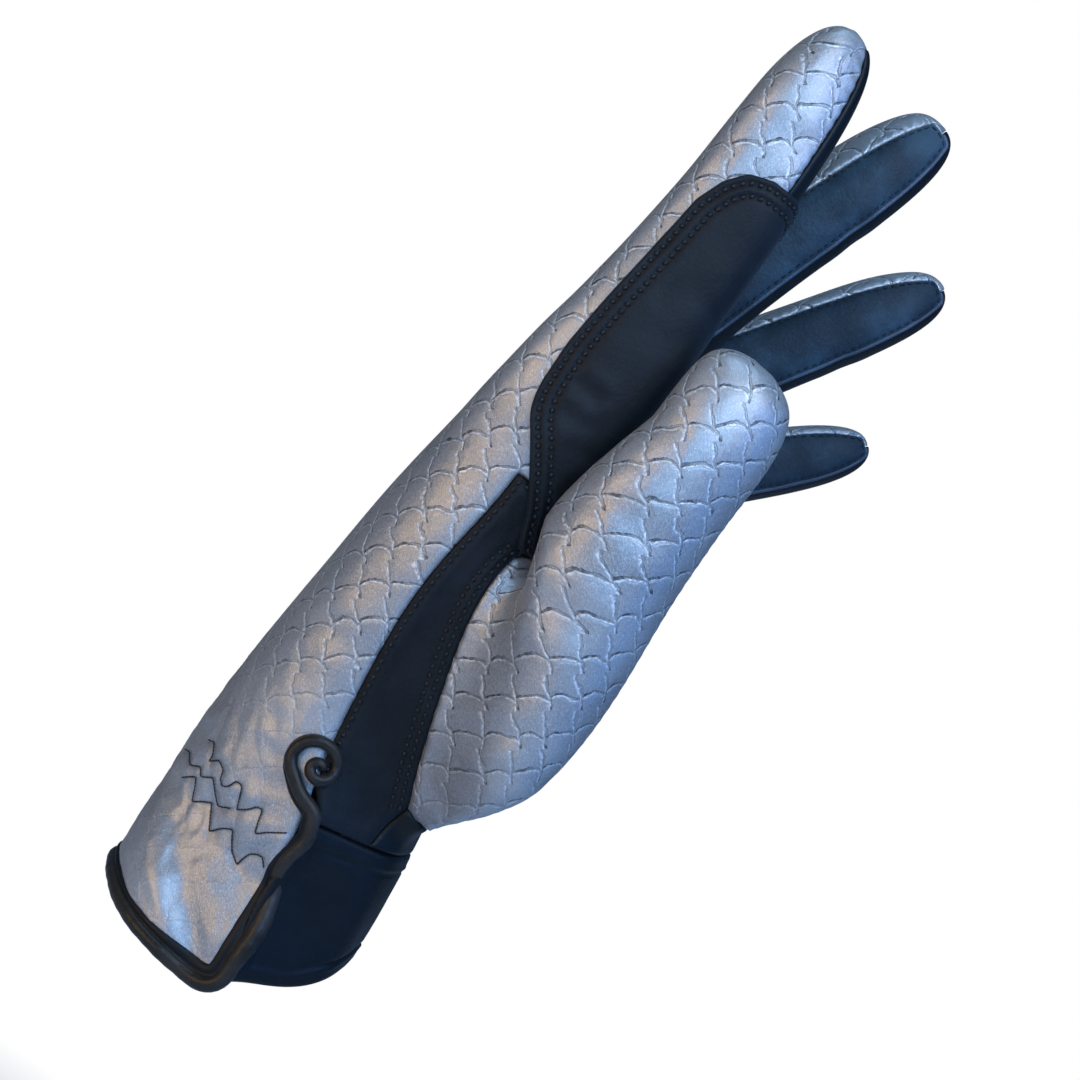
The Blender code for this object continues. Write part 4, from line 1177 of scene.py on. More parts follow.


# %% [markdown]
# ### The scales
# The scales stand in upright columns. Each one has a straight right side and a low arch on top that
# starts at the foot of its left neighbour's side and rounds off down to its own. So there are two
# kinds of lines: sides, one every 6.5 mm, and arches, one every 7.6 mm. For each point of the cloth
# we take its column and row, and measure its distance to the side and to the arch. Near a line the
# cloth is pressed down and painted dark, with painted shade that is heaviest low on each side and on
# the left half of each arch, and a raised lip beside it is painted bright as a painted highlight. A
# slow wandering of the coordinates keeps the pattern from looking printed, and it fades where the
# wrist is gathered.

# %% Distances to the sides and arches of the scales
SCALE_WIDTH = 6.5
SCALE_HEIGHT = 7.6
SCALE_LEAN = 0.16         # how far a side leans for each millimetre of its height
ARCH_RISE = 0.55          # the arch's top above its start
ARCH_DROP = 2.1           # its rounded end below its start
ARCH_TOP = 0.30           # where its top is, as a share of the width


def scale_lines(paint):
    """Signed distances to the nearest side and arch, in millimetres, and the place in the scale."""
    uv = paint.add("UVMap", dict(uv_map="cloth"), 0)
    wander = paint.add("TexNoise", dict(noise_dimensions="2D"), "Color", Vector=uv, Scale=0.16,
                       Detail=3.0)
    centred = paint.add("VectorMath", dict(operation="SUBTRACT"), 0, _0=wander, _1=(0.5, 0.5, 0.5))
    moved = paint.add("VectorMath", dict(operation="MULTIPLY_ADD"), 0, _0=centred,
                      _1=(3.4, 2.4, 0.0), _2=uv)
    across = paint.add("SeparateXYZ", None, 0, Vector=moved)
    up = paint.add("SeparateXYZ", None, 1, Vector=moved)
    lowest = ARCH_DROP + 0.8
    rows = (up + lowest) / SCALE_HEIGHT
    level = (rows - rows.math("FLOOR")) * SCALE_HEIGHT - lowest
    place = ((level * SCALE_LEAN + across) / SCALE_WIDTH).math("FRACT")
    side = (place - place.math("GREATER_THAN", 0.5)) * SCALE_WIDTH
    off = (place - ARCH_TOP) * SCALE_WIDTH
    left = off / (ARCH_TOP * SCALE_WIDTH)
    rising = level - (1 - left * left) * ARCH_RISE
    right = (1 - ARCH_TOP) * SCALE_WIDTH
    tall = ARCH_RISE + ARCH_DROP
    over = (level + ARCH_DROP).top(0.02) / tall
    out = off.top(0.02) / right
    size = (out ** 2.5 + over ** 2.0).math("SQRT")
    slope = ((out / right) ** 2.0 + (over / tall) ** 2.0).math("SQRT")
    falling = (size - 1.0) / slope.top(0.06)
    beyond = off.math("GREATER_THAN", 0.0)
    arch = rising * (1 - beyond) + falling * beyond
    return side, arch, place, level, uv


# %% Embossed satin
def scale_satin():
    paint = Paint("scale_satin", 0.42)
    where = paint.where
    side, arch, place, level, uv = scale_lines(paint)
    heavy = paint.noise(uv, 0.9, 4.0, 0.65).fade(0.36, 0.60)
    side_gap = side.math("ABSOLUTE")
    arch_gap = arch.math("ABSOLUTE")
    width = heavy * 0.15 + 0.05
    side_line = 1 - (side_gap - width).fade(0.0, 0.17)
    arch_line = 1 - (arch_gap - width).fade(0.0, 0.17)
    # The lines are dark, with painted shade on top: heaviest on the lower part of each side and on the left
    # half of each arch, fading where the groove faces the light.
    side_line_with_painted_shade = side_line * (1 - level.fade(-2.6, -1.4) * 0.75)
    arch_line_with_painted_shade = arch_line * (1 - place.fade(0.42, 0.62) * 0.70)
    height = paint.add("SeparateXYZ", None, 2, Vector=where)
    calm = height.fade(0.030, 0.066) * 0.88 + 0.12
    dark = side_line_with_painted_shade.top(arch_line_with_painted_shade) * (heavy * 0.75 + 0.25) * calm
    # Lips beside each side and arch: raised in the bump below, and painted bright as a painted highlight.
    side_lip_painted_highlight = side.fade(-0.95, -0.45) * (1 - side.fade(-0.40, -0.15))
    arch_lip_painted_highlight = arch.fade(-1.05, -0.50) * (1 - arch.fade(-0.42, -0.15))
    lip = side_lip_painted_highlight.top(arch_lip_painted_highlight) * paint.noise(uv, 1.3, 3.0, 0.6).fade(0.34, 0.62) * calm
    puff = side_gap.math("MINIMUM", arch_gap).fade(0.1, 2.0)
    streaks = paint.add("VectorMath", dict(operation="MULTIPLY"), 0, _0=uv, _1=(3.6, 1.1, 1.0))
    weave = paint.noise(streaks, 1.0, 3.0, 0.7)
    fleck = paint.noise(where, 4200.0, 1.0, 0.6)
    cloudy = paint.noise(where, 45.0, 4.0, 0.6)
    base = paint.mix(cloudy.fade(0.3, 0.7), (0.270, 0.275, 0.285), (0.370, 0.372, 0.378))
    base = paint.mix(weave.fade(0.38, 0.70) * 0.55, base, (0.52, 0.52, 0.53))
    light = paint.mix(fleck.fade(0.56, 0.74) * 0.6, base, (0.74, 0.74, 0.76))
    # Painted highlight: the lips are mixed towards near-white.
    light = paint.mix(lip * 0.75, light, (0.86, 0.87, 0.88))
    # The dark lines, with their painted shade, darken the colour towards near-black.
    colour = paint.mix(dark * 0.86, light, (0.040, 0.040, 0.042))
    relief = puff * calm * 0.55 - side_line.top(arch_line) * calm + lip * 0.35
    normal = paint.bump(relief, 0.85, 0.00024)
    normal = paint.bump(paint.noise(where, 260.0, 3.0, 0.6), 0.35, 0.00035, Normal=normal)
    normal = paint.bump(weave, 0.40, 0.00012, Normal=normal)
    paint.fill(Base_Color=colour, Metallic=0.55, Roughness=weave * 0.16 + 0.36, Normal=normal)
    return paint.finish


SATIN = scale_satin()
print("scales of", SCALE_WIDTH, "by", SCALE_HEIGHT, "mm")

# %% [markdown]
# ### Leather, binding and thread
# The palm, finger sides and patch are thin napped leather: nearly black with a blue cast, brushed
# lighter in places. The finger sides are painted lighter and bluer, as painted blue light, and the
# piping lighter still, as a painted highlight. The binding and the cuff are smoother and shine a
# little. The binding's roll is tinted brown as painted warm light and its flat lip kept near-black
# as painted shade.

# %% Soft leather
def leather(name, dark, light, roughness, grain, sheen):
    paint = Paint(name, roughness, 0.26)
    where = paint.where
    nap = paint.noise(where, 95.0, 5.0, 0.62)
    patches = paint.noise(where, 26.0, 3.0, 0.55)
    pores = paint.add("TexVoronoi", dict(feature="F1"), "Distance", Vector=where, Scale=1500.0)
    fibre = paint.noise(where, 2600.0, 3.0, 0.7)
    base = paint.mix((nap * 0.55 + patches * 0.45).fade(0.40, 0.64), dark, light)
    tips = tuple(2.1 * value for value in light)
    normal = paint.bump(paint.noise(where, 210.0, 4.0, 0.6), 0.35, 0.0005)
    normal = paint.bump(pores, grain, 0.00016, Normal=normal)
    normal = paint.bump(fibre, grain * 0.8, 0.00007, Normal=normal)
    paint.fill(Base_Color=paint.mix(fibre.fade(0.55, 0.8) * 0.45, base, tips), Normal=normal,
               Roughness=nap * 0.16 + (roughness - 0.08), Sheen_Weight=sheen, Sheen_Roughness=0.45,
               Sheen_Tint=(0.45, 0.66, 1.0))
    return paint.finish


SUEDE = leather("napped_leather", (0.0030, 0.0038, 0.0048), (0.0080, 0.0104, 0.0136), 0.62, 0.42, 0.07)
# Painted blue light: the finger sides get a lighter, bluer copy of the near-black leather.
SIDES_PAINTED_BLUE_LIGHT = leather("finger_side_leather_painted_blue_light", (0.009, 0.019, 0.028), (0.032, 0.064, 0.090), 0.60, 0.5, 0.22)
SMOOTH = leather("smooth_leather", (0.0016, 0.0022, 0.0028), (0.0034, 0.0048, 0.0064), 0.46, 0.22, 0.02)
# The binding's roll and flat lip are lit and shaded copies of one leather: the roll tinted brown as painted
# warm light, the lip near-black as painted shade beside the roll.
BINDING_PAINTED_WARM_LIGHT = leather("binding_leather_painted_warm_light", (0.014, 0.011, 0.008), (0.032, 0.026, 0.020), 0.38, 0.18, 0.03)
INNER_LIP_PAINTED_SHADE = leather("binding_inner_lip_painted_shade", (0.0025, 0.0028, 0.0034), (0.005, 0.0055, 0.0065), 0.50, 0.15, 0.02)
# Painted highlight: the piping's leather is lighter and bluer than the rest, for the bright line along the
# seam.
PIPED_PAINTED_HIGHLIGHT = leather("piped_leather_painted_highlight", (0.035, 0.050, 0.070), (0.075, 0.105, 0.145), 0.34, 0.15, 0.05)


def thread(name, colour):
    paint = Paint(name, 0.55)
    twist = paint.add("TexWave", dict(bands_direction="DIAGONAL"), "Fac", Vector=paint.where,
                      Scale=900.0, Distortion=1.5)
    shade = paint.mix(twist, tuple(0.45 * value for value in colour), colour)
    paint.fill(Base_Color=shade, Normal=paint.bump(twist, 0.4, 0.0001))
    return paint.finish


BLACK_THREAD = thread("black_thread", (0.0018, 0.0020, 0.0026))
GREY_THREAD = thread("grey_thread", (0.022, 0.022, 0.025))
print("finishes:", len(bpy.data.materials))

# %% [markdown]
# ## Panels with rolled edges
# Where two panels of a glove are sewn together, their edges turn in and the cloth beside the seam is
# pulled down, so a seam is a small valley. We cut each panel out of the fine skin, measure how far
# every point is from the panel's border, and roll the last millimetre down into the valley. A strip
# closes the edge, and a lining from the coarser skin closes the inside.

# %% Cut one panel out of a skin
SEAM_ROLL = 1.2           # width of the rolled edge
SEAM_SINK = 0.60          # how deep the edge turns in
SEAM_SLIT = 0.08          # half of the slit that stays between two panels


def cut_panel(skin, number):
    """The panel's points, normals, places on the cloth, quads, and its border as pairs."""
    quads = skin["quads"][skin["owner"] == number]
    used, numbers = np.unique(quads, return_inverse=True)
    quads = numbers.reshape(-1, 4)
    pairs = edges_of(quads)
    key = np.sort(pairs, axis=1)
    order = key[:, 0] * (len(used) + 1) + key[:, 1]
    first, counts = np.unique(order, return_index=True, return_counts=True)[1:]
    border = pairs[first[counts == 1]]
    return dict(spots=skin["spots"][used], normals=skin["normals"][used],
                cloth=skin["cloth"][used], quads=quads, border=border)


def border_distance(panel):
    """Distance of each point to the border, and the way in from the border at its own points."""
    ends = np.unique(panel["border"])
    starts = panel["spots"][panel["border"][:, 0]]
    stops = panel["spots"][panel["border"][:, 1]]
    away = gaps_to(np.concatenate([starts, (starts + stops) / 2]), panel["spots"])
    inward = np.zeros_like(panel["spots"])
    way = stops - starts
    way /= np.linalg.norm(way, axis=1)[:, None]
    across = np.cross(panel["normals"][panel["border"][:, 0]], way)
    for column in (0, 1):
        np.add.at(inward, panel["border"][:, column], across)
    size = np.linalg.norm(inward, axis=1)
    inward[size > 1e-6] /= size[size > 1e-6][:, None]
    away[ends] = 0.0
    return away, inward


FINGER_ENDS = [np.array(finger_frame(index, FINGERS[index]["length"])[0]) for index in range(4)]


def rolled(panel, away, inward):
    """Points moved in from the slit and rolled down near the border, less so at the fingertips."""
    down = round_off(away, SEAM_ROLL) * SEAM_SINK
    shallow = np.ones(len(away))
    for tip in FINGER_ENDS:
        gap = np.linalg.norm(panel["spots"] - tip, axis=1)
        shallow = np.minimum(shallow, 0.25 + 0.75 * step_of(gap, 3.0, 9.0))
    return panel["spots"] + inward * SEAM_SLIT - panel["normals"] * (down * shallow)[:, None]


# %% Make a mesh of the outside, the edge strip and the lining
def mesh_piece(name, spots, faces, finish, cloth=None, lining=None, lining_from=0):
    """A smooth mesh object from points in millimetres. Faces from a number on take the lining."""
    mesh = bpy.data.meshes.new(name)
    mesh.from_pydata((np.asarray(spots) * MM).tolist(), [], faces)
    if cloth is not None:
        add_cloth(mesh, cloth)
    mesh.materials.append(finish)
    if lining is not None:
        mesh.materials.append(lining)
        numbers = (np.arange(len(faces)) >= lining_from).astype(int)
        mesh.polygons.foreach_set("material_index", numbers)
    mesh.shade_smooth()
    return add_object(name, mesh)


RIM_LONGEST = 12.0        # round a face between the edge strip and the lining


def close_rim(mesh):
    """Join the edge strip to the lining, whose border has fewer points."""
    work = bmesh.new()
    work.from_mesh(mesh)
    rims = [edge for edge in work.edges if edge.is_boundary]
    joined = bmesh.ops.bridge_loops(work, edges=rims)["faces"]
    if joined and max(face.calc_perimeter() for face in joined) < RIM_LONGEST * MM:
        for face in joined:
            face.material_index = 1
            face.smooth = True
        work.to_mesh(mesh)
    left = sum(1 for edge in work.edges if edge.is_boundary)
    print(mesh.name, "rim faces:", len(joined), "open edges left:", left)
    work.free()


def panel_piece(node, wall, finish, dress=None):
    """A dressed panel: fine outside, edge strip and coarse lining in one object."""
    number = PANELS.index(node)
    outside = cut_panel(fine, number)
    away, inward = border_distance(outside)
    spots = rolled(outside, away, inward)
    if dress is not None:
        spots = spots + outside["normals"] * dress(outside["spots"], away)[:, None]
    lining = cut_panel(coarse, number)
    inner = lining["spots"] + border_distance(lining)[1] * SEAM_SLIT - lining["normals"] * wall
    faces = outside["quads"].tolist()
    count = len(spots)
    ends = np.unique(outside["border"])
    place = {int(number): count + order for order, number in enumerate(ends)}
    strip = outside["spots"][ends] + inward[ends] * SEAM_SLIT - outside["normals"][ends] * wall
    for start, stop in outside["border"].tolist():
        faces.append((stop, start, place[start], place[stop]))
    shown = len(faces)
    shift = count + len(strip)
    faces += (lining["quads"][:, ::-1] + shift).tolist()
    cloth = np.concatenate([outside["cloth"], outside["cloth"][ends], lining["cloth"]])
    made = mesh_piece("dressed_" + node, np.concatenate([spots, strip, inner]), faces, finish,
                      cloth, SMOOTH, shown)
    close_rim(made.data)
    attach(made, "root")
    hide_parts(node)
    print(made.name, len(made.data.polygons) * 2, "triangles")
    return made


# %% [markdown]
# ## Rows of stitches
# Seams are easiest to read from their stitches. A row is a path that runs beside an edge at a set
# distance. We take the edge's own points, move them sideways on the surface, drop those that come
# too close to the edge at a corner, and lay the rest back on the cloth. The leather is then pressed
# down along the row, and Geometry Nodes put a short thread at every step.

# %% Paths on the skin
skin_tree = BVHTree.FromPolygons(fine["spots"].tolist(), fine["quads"].tolist())


def chain(pairs):
    """Point numbers in order along the longest line that pairs of them make."""
    links = {}
    for start, stop in pairs:
        links.setdefault(int(start), []).append(int(stop))
        links.setdefault(int(stop), []).append(int(start))
    left = set(links)
    best = []
    while left:
        ends = [number for number in left if len(links[number]) == 1]
        line = [min(ends) if ends else min(left)]
        left.discard(line[0])
        while True:
            after = [number for number in links[line[-1]] if number in left]
            if not after:
                break
            line.append(after[0])
            left.discard(after[0])
        if len(line) > len(best):
            best = line
    return best


def skin_edges():
    """All edges of the fine skin with the panels on their two sides (-1 where there is none)."""
    pairs = np.sort(edges_of(fine["quads"]), axis=1)
    owners = np.tile(fine["owner"], 4)
    order = np.lexsort((pairs[:, 1], pairs[:, 0]))
    pairs = pairs[order]
    owners = owners[order]
    same = np.all(pairs[1:] == pairs[:-1], axis=1)
    twin = np.zeros(len(pairs), dtype=bool)
    twin[:-1] = same
    second = np.zeros(len(pairs), dtype=bool)
    second[1:] = same
    inner = pairs[twin], np.stack([owners[:-1][same], owners[1:][same]], axis=1)
    alone = ~(twin | second)
    return inner, (pairs[alone], owners[alone])


(inner_edges, inner_owners), (free_edges, free_owners) = skin_edges()


def seam_between(one, other):
    """Point numbers along the seam of two panels, from its lowest end."""
    a = PANELS.index(one)
    b = PANELS.index(other)
    match = np.all(np.sort(inner_owners, axis=1) == sorted((a, b)), axis=1)
    line = chain(inner_edges[match])
    if fine["spots"][line[0], 2] > fine["spots"][line[-1], 2]:
        line.reverse()
    return line


def smooth_line(spots, rounds):
    """Points of a line, each drawn towards the middle of its neighbours."""
    spots = np.array(spots, dtype=float)
    for _ in range(rounds):
        spots[1:-1] = spots[1:-1] * 0.5 + (spots[:-2] + spots[2:]) * 0.25
    return spots


def at_marks(values, run, marks):
    """Values of a line's points, read at other lengths along it."""
    return np.stack([np.interp(marks, run, values[:, axis]) for axis in range(3)], axis=1)


def even_line(spots, step):
    """Points of a line at an even step."""
    spots = np.asarray(spots, dtype=float)
    run = run_along(spots)
    marks = np.linspace(0.0, run[-1], max(int(round(run[-1] / step)), 1) + 1)
    return at_marks(spots, run, marks)


def lay_on(tree, spots, lift):
    """Points laid on a surface and lifted off it, and the surface's normals there."""
    laid = []
    normals = []
    for spot in spots:
        hit, normal = tree.find_nearest(Vector(spot))[:2]
        laid.append(np.array(hit) + np.array(normal) * lift)
        normals.append(np.array(normal))
    return np.array(laid), np.array(normals)


def row_beside(edge, inset, tree, side, step=0.5):
    """A path beside an edge, inset from it to one side (1 or -1)."""
    edge = even_line(smooth_line(edge, 3), step)
    laid, normals = lay_on(tree, edge, 0.0)
    way = np.gradient(laid, axis=0)
    across = np.cross(normals, way)
    across /= np.linalg.norm(across, axis=1)[:, None]
    moved = laid + across * inset * side
    gaps = np.linalg.norm(moved[:, None, :] - laid[None, :, :], axis=2).min(axis=1)
    row = smooth_line(moved[gaps > inset * 0.9], 6)
    return even_line(lay_on(tree, row, 0.0)[0], step)


def press_rows(spots, rows, depth, width):
    """How far the cloth is pressed down along rows of stitches."""
    marks = np.concatenate(rows)
    low = marks.min(axis=0) - 3 * width
    high = marks.max(axis=0) + 3 * width
    move = np.zeros(len(spots))
    near = np.flatnonzero(np.all((spots > low) & (spots < high), axis=1))
    gaps = gaps_to(marks, spots[near])
    move[near] = np.where(gaps < 3 * width, -depth * np.exp(-(gaps / width) ** 2), 0.0)
    return move


# %% Geometry Nodes: one thread at every step of a path
def tree_with(name, **sizes):
    """An empty node tree. Its inputs are a path, some sizes and a finish, and its output a mesh."""
    group = bpy.data.node_groups.new(name, "GeometryNodeTree")
    add = group.interface.new_socket
    add("Geometry", in_out="INPUT", socket_type="NodeSocketGeometry")
    add("Geometry", in_out="OUTPUT", socket_type="NodeSocketGeometry")
    for label, value in sizes.items():
        add(label, in_out="INPUT", socket_type="NodeSocketFloat").default_value = value
    add("Finish", in_out="INPUT", socket_type="NodeSocketMaterial")
    return group, group.nodes.new("NodeGroupInput").outputs


def finish_tree(group, given, points, rotation, scale):
    """Threads on points, made real and given their finish."""
    ball = add_node(group, "GeometryNodeMeshUVSphere", Segments=8, Rings=6, Radius=0.5)
    place = add_node(group, "GeometryNodeInstanceOnPoints", Points=points,
                     Instance=ball.outputs["Mesh"], Rotation=rotation, Scale=scale)
    real = add_node(group, "GeometryNodeRealizeInstances", _0=place.outputs[0])
    colour = add_node(group, "GeometryNodeSetMaterial", Geometry=real.outputs[0],
                      Material=given["Finish"])
    add_node(group, "NodeGroupOutput", _0=colour.outputs[0])
    return group


def stitch_tree():
    """A thread at every pitch along a path."""
    group, given = tree_with("stitches", Pitch=0.002, Length=0.0014, Thread=0.0004)
    curve = add_node(group, "GeometryNodeMeshToCurve", _0=given["Geometry"])
    steps = add_node(group, "GeometryNodeCurveToPoints", dict(mode="LENGTH"),
                     Curve=curve.outputs[0], Length=given["Pitch"])
    size = add_node(group, "ShaderNodeCombineXYZ", X=given["Thread"], Y=given["Thread"],
                    Z=given["Length"])
    return finish_tree(group, given, steps.outputs["Points"], steps.outputs["Rotation"],
                       size.outputs[0])


def segment_tree():
    """A thread from each point of a path to the next one, as in zigzag stitching."""
    group, given = tree_with("zigzag", Thread=0.0005, Reach=0.96)
    vector = dict(data_type="FLOAT_VECTOR")
    ends = add_node(group, "GeometryNodeInputMeshEdgeVertices").outputs
    way = add_node(group, "ShaderNodeVectorMath", dict(operation="SUBTRACT"),
                   _0=ends["Position 2"], _1=ends["Position 1"])
    keep = add_node(group, "GeometryNodeStoreNamedAttribute", dict(vector, domain="EDGE"),
                    Geometry=given["Geometry"], Name="way", Value=way.outputs[0])
    dots = add_node(group, "GeometryNodeMeshToPoints", dict(mode="EDGES"), Mesh=keep.outputs[0])
    read = add_node(group, "GeometryNodeInputNamedAttribute", vector, Name="way").outputs["Attribute"]
    turn = add_node(group, "FunctionNodeAlignRotationToVector", dict(axis="Z"), Vector=read)
    length = add_node(group, "ShaderNodeVectorMath", dict(operation="LENGTH"), _0=read)
    reach = add_node(group, "ShaderNodeMath", dict(operation="MULTIPLY"), _0=length.outputs["Value"],
                     _1=given["Reach"])
    size = add_node(group, "ShaderNodeCombineXYZ", X=given["Thread"], Y=given["Thread"],
                    Z=reach.outputs[0])
    return finish_tree(group, given, dots.outputs[0], turn.outputs[0], size.outputs[0])


# %% Turn paths into a piece of threads
STITCHES = stitch_tree()
ZIGZAG = segment_tree()


def threads(name, rows, group, finish, **sizes):
    """All rows' threads as one plain mesh."""
    mesh = bpy.data.meshes.new(name)
    spots = np.concatenate(rows) * MM
    edges = []
    count = 0
    for row in rows:
        edges += [(count + step, count + step + 1) for step in range(len(row) - 1)]
        count += len(row)
    mesh.from_pydata(spots.tolist(), edges, [])
    made = bpy.data.objects.new(name, mesh)
    modifier = made.modifiers.new("threads", "NODES")
    modifier.node_group = group
    for item in group.interface.items_tree:
        if item.in_out == "INPUT" and item.name in sizes:
            unit_of = 1.0 if item.name == "Reach" else MM
            modifier[item.identifier] = sizes[item.name] * unit_of
        if item.in_out == "INPUT" and item.name == "Finish":
            modifier[item.identifier] = finish
    bpy.context.collection.objects.link(made)
    graph = bpy.context.evaluated_depsgraph_get()
    plain = bpy.data.meshes.new_from_object(made.evaluated_get(graph))
    made.modifiers.clear()
    made.data = plain
    for extra in [one.name for one in plain.attributes if one.name == "way"]:
        plain.attributes.remove(plain.attributes[extra])
    plain.shade_smooth()
    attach(made, "root")
    print(name, len(plain.polygons), "faces")
    return made


# %% [markdown]
# ## Which rows the glove has
# Two rows run down the gusset beside the thumb's seam and one beside the back's, and one beside each
# seam of the finger sides. The patch gets two rows round its edge. All of them are dark on dark, so
# they show as dimples more than as thread. Only the zigzag rows of the wrist stand out.

# %% Rows beside the seams
def seam_points(one, other):
    """The places of a seam's points."""
    return fine["spots"][seam_between(one, other)]


GUSSET_ROWS = []
thumb_seam = seam_points("side_gusset", "thumb_back")
for inset in (1.5, 3.4):
    GUSSET_ROWS.append(row_beside(thumb_seam, inset, skin_tree, 1))
dorsal_seam = seam_points("side_gusset", "back_panel")
GUSSET_ROWS.append(row_beside(dorsal_seam, 1.2, skin_tree, -1))
FINGER_GAPS = ("fourchette_index_middle", "fourchette_middle_ring", "fourchette_ring_little")
GAP_ROWS = []
for node in FINGER_GAPS:
    for other in ("back_panel", "palm_panel"):
        line = seam_points(node, other)
        for side in (1, -1):
            row = row_beside(line, 1.1, skin_tree, side)
            face = [skin_tree.find_nearest(Vector(spot))[2] for spot in row[::8]]
            inside = np.mean(fine["owner"][face] == PANELS.index(node))
            if inside > 0.6:
                GAP_ROWS.append(row)
print("rows:", len(GUSSET_ROWS), "on the gusset,", len(GAP_ROWS), "on the finger sides")

# %% The wrist's zigzag rows
# Each row is a flight of steps that one line of stitches makes through the elastic.
ZIGZAG_ROWS = (
    [(204, 742), (211, 744), (210, 757), (206, 763), (217, 761), (222, 771), (219, 779), (220, 787),
     (227, 787), (236, 781), (242, 786), (239, 798), (236, 810), (248, 809), (258, 806), (263, 809),
     (258, 823), (255, 833), (268, 831), (288, 831)],
    [(176, 781), (181, 780), (192, 779), (191, 790), (188, 804), (200, 804), (209, 805), (208, 817),
     (207, 833), (221, 829), (232, 830), (231, 840), (231, 852), (236, 865), (242, 859), (249, 854),
     (258, 854), (263, 857), (264, 867)],
    [(176, 754), (183, 756), (184, 768), (197, 769), (197, 779), (211, 779), (213, 796), (216, 808),
     (229, 809)],
)


def onto_thumb_side(spots):
    """Points of the x-z plane laid on the skin's thumb side, as seen square on."""
    laid = []
    for x, z in spots:
        hit = skin_tree.ray_cast(Vector((x, -80.0, z)), Vector((0, 1, 0)))[0]
        if hit is not None:
            laid.append(np.array(hit) - np.array((0, 0.05, 0)))
    return np.array(laid)


def flat_line(spots, step):
    """A line of the x-z plane at an even step."""
    return even_line([(x, 0.0, z) for x, z in spots], step)[:, (0, 2)]


WRIST_ROWS = [onto_thumb_side(flat_line(from_photo(row), 0.7)) for row in ZIGZAG_ROWS]
WRIST_PRESS = [even_line(row, 0.3) for row in WRIST_ROWS]
print("zigzag stitches:", sum(len(row) - 1 for row in WRIST_ROWS))

# %% [markdown]
# ## How each panel's surface answers its seams
# Sewn cloth puckers: beside a seam it rises and falls once for each stitch. The cuff band has a
# turned hem, so its last millimetres stand up a little and end in a fine line. These are the last
# small moves before the panels are cut.

# %% Puckers, pressed rows and the cuff's turned hem
def puckers(spots, away, pitch, height, reach):
    """Ripples beside the border that die out away from it."""
    phase = (spots[:, 2] * 0.83 + spots[:, 0] * 0.56) * 2 * math.pi / pitch
    return height * np.sin(phase) * np.exp(-(away / reach) ** 2)


def dress_fabric(spots, away):
    return puckers(spots, away, 2.3, 0.14, 1.9) + press_rows(spots, WRIST_PRESS, 0.40, 0.70)


def dress_thumb(spots, away):
    return puckers(spots, away, 2.4, 0.12, 1.8)


def dress_gusset(spots, away):
    band = 0.22 * np.exp(-((away - 2.5) / 1.0) ** 4)
    return press_rows(spots, GUSSET_ROWS, 0.42, 0.7) + band


def dress_gap(spots, away):
    return press_rows(spots, GAP_ROWS, 0.16, 0.45) + puckers(spots, away, 2.1, 0.05, 1.6)


def dress_cuff(spots, away):
    """A turned hem 3.6 mm wide on every side, with a fine sunk line where it is sewn down."""
    turned = 0.12 * step_of(away, 4.3, 3.7) + 0.14 * np.exp(-((away - 3.3) / 0.5) ** 2)
    line = -0.42 * np.exp(-((away - 4.1) / 0.34) ** 2)
    wave = 0.10 * np.sin(spots[:, 1] * 0.42 + spots[:, 2] * 0.25) * step_of(away, 2.0, 7.0)
    return turned + line + wave


DRESS = {"back_panel": dress_fabric, "thumb_back": dress_thumb, "side_gusset": dress_gusset,
         "cuff_band": dress_cuff}
for node in FINGER_GAPS:
    DRESS[node] = dress_gap

# %% Cut all nine panels
for node in PANELS:
    fabric = node in ("back_panel", "thumb_back")
    finish = SATIN if fabric else SUEDE
    if node in ("cuff_band", "palm_panel", "thumb_palm"):
        finish = SMOOTH
    # The finger sides take the leather with painted blue light.
    if node in FINGER_GAPS:
        finish = SIDES_PAINTED_BLUE_LIGHT
    wall = FABRIC_WALL if fabric else LEATHER_WALL
    panel_piece(node, wall, finish, DRESS.get(node))

# %% [markdown]
# ## The patch on the index finger
# Reins run over the side of the index finger, so a second layer of leather lies there. It is cut
# with a round top and a tapering foot and wraps to the palm. We shoot rays out from the finger's
# middle to lay a grid on the skin, raise it by the leather's thickness, and round its edges.

# %% Lay the patch on the finger
PATCH_GRID = (150, 72)
PATCH_LIFT = 0.25         # the dressed patch lies closer to the skin than the plain one
PATCH_ROUND = 0.9         # width of its rounded edge
PATCH_SHOULDER = 8.0      # how far its top drops towards the palm


def patch_edge(share):
    """The angle round the finger of the patch's near edge, at a share of its height."""
    return float(np.interp(share, *zip(*PATCH_EDGE)))


def lay_patch():
    """The patch's grid on the skin: points and normals."""
    rows, columns = PATCH_GRID
    spots = []
    normals = []
    edges = [patch_edge(1 - (1 - row / rows) ** PATCH_CROWD) for row in range(rows + 1)]
    edges = smooth_line([(edge, 0, 0) for edge in edges], 5)[:, 0]
    for row in range(rows + 1):
        share = 1 - (1 - row / rows) ** PATCH_CROWD
        for column in range(columns + 1):
            angle = lerp(edges[row], PATCH_WRAP, column / columns)
            over = share_of(-angle, 58.0, -PATCH_WRAP)
            height = lerp(PATCH_FOOT, PATCH_TOP - PATCH_SHOULDER * over ** 2, share)
            along = height - FINGERS[0]["knuckle_z"] * HAND_LENGTH
            middle = finger_frame(0, max(along, 0.001))[0]
            start = Vector((middle[0], middle[1], height))
            turn = math.radians(angle)
            ray = Vector((-math.sin(turn), -math.cos(turn), 0))
            hit, normal = skin_tree.ray_cast(start, ray)[:2]
            spots.append(np.array(hit))
            normals.append(np.array(normal) * (1 if normal.y < 0 or normal.x > 0 else -1))
    return np.array(spots), np.array(normals)


def grid_faces(rows, columns):
    faces = []
    for row in range(rows):
        for column in range(columns):
            a = row * (columns + 1) + column
            faces.append((a, a + 1, a + columns + 2, a + columns + 1))
    return faces


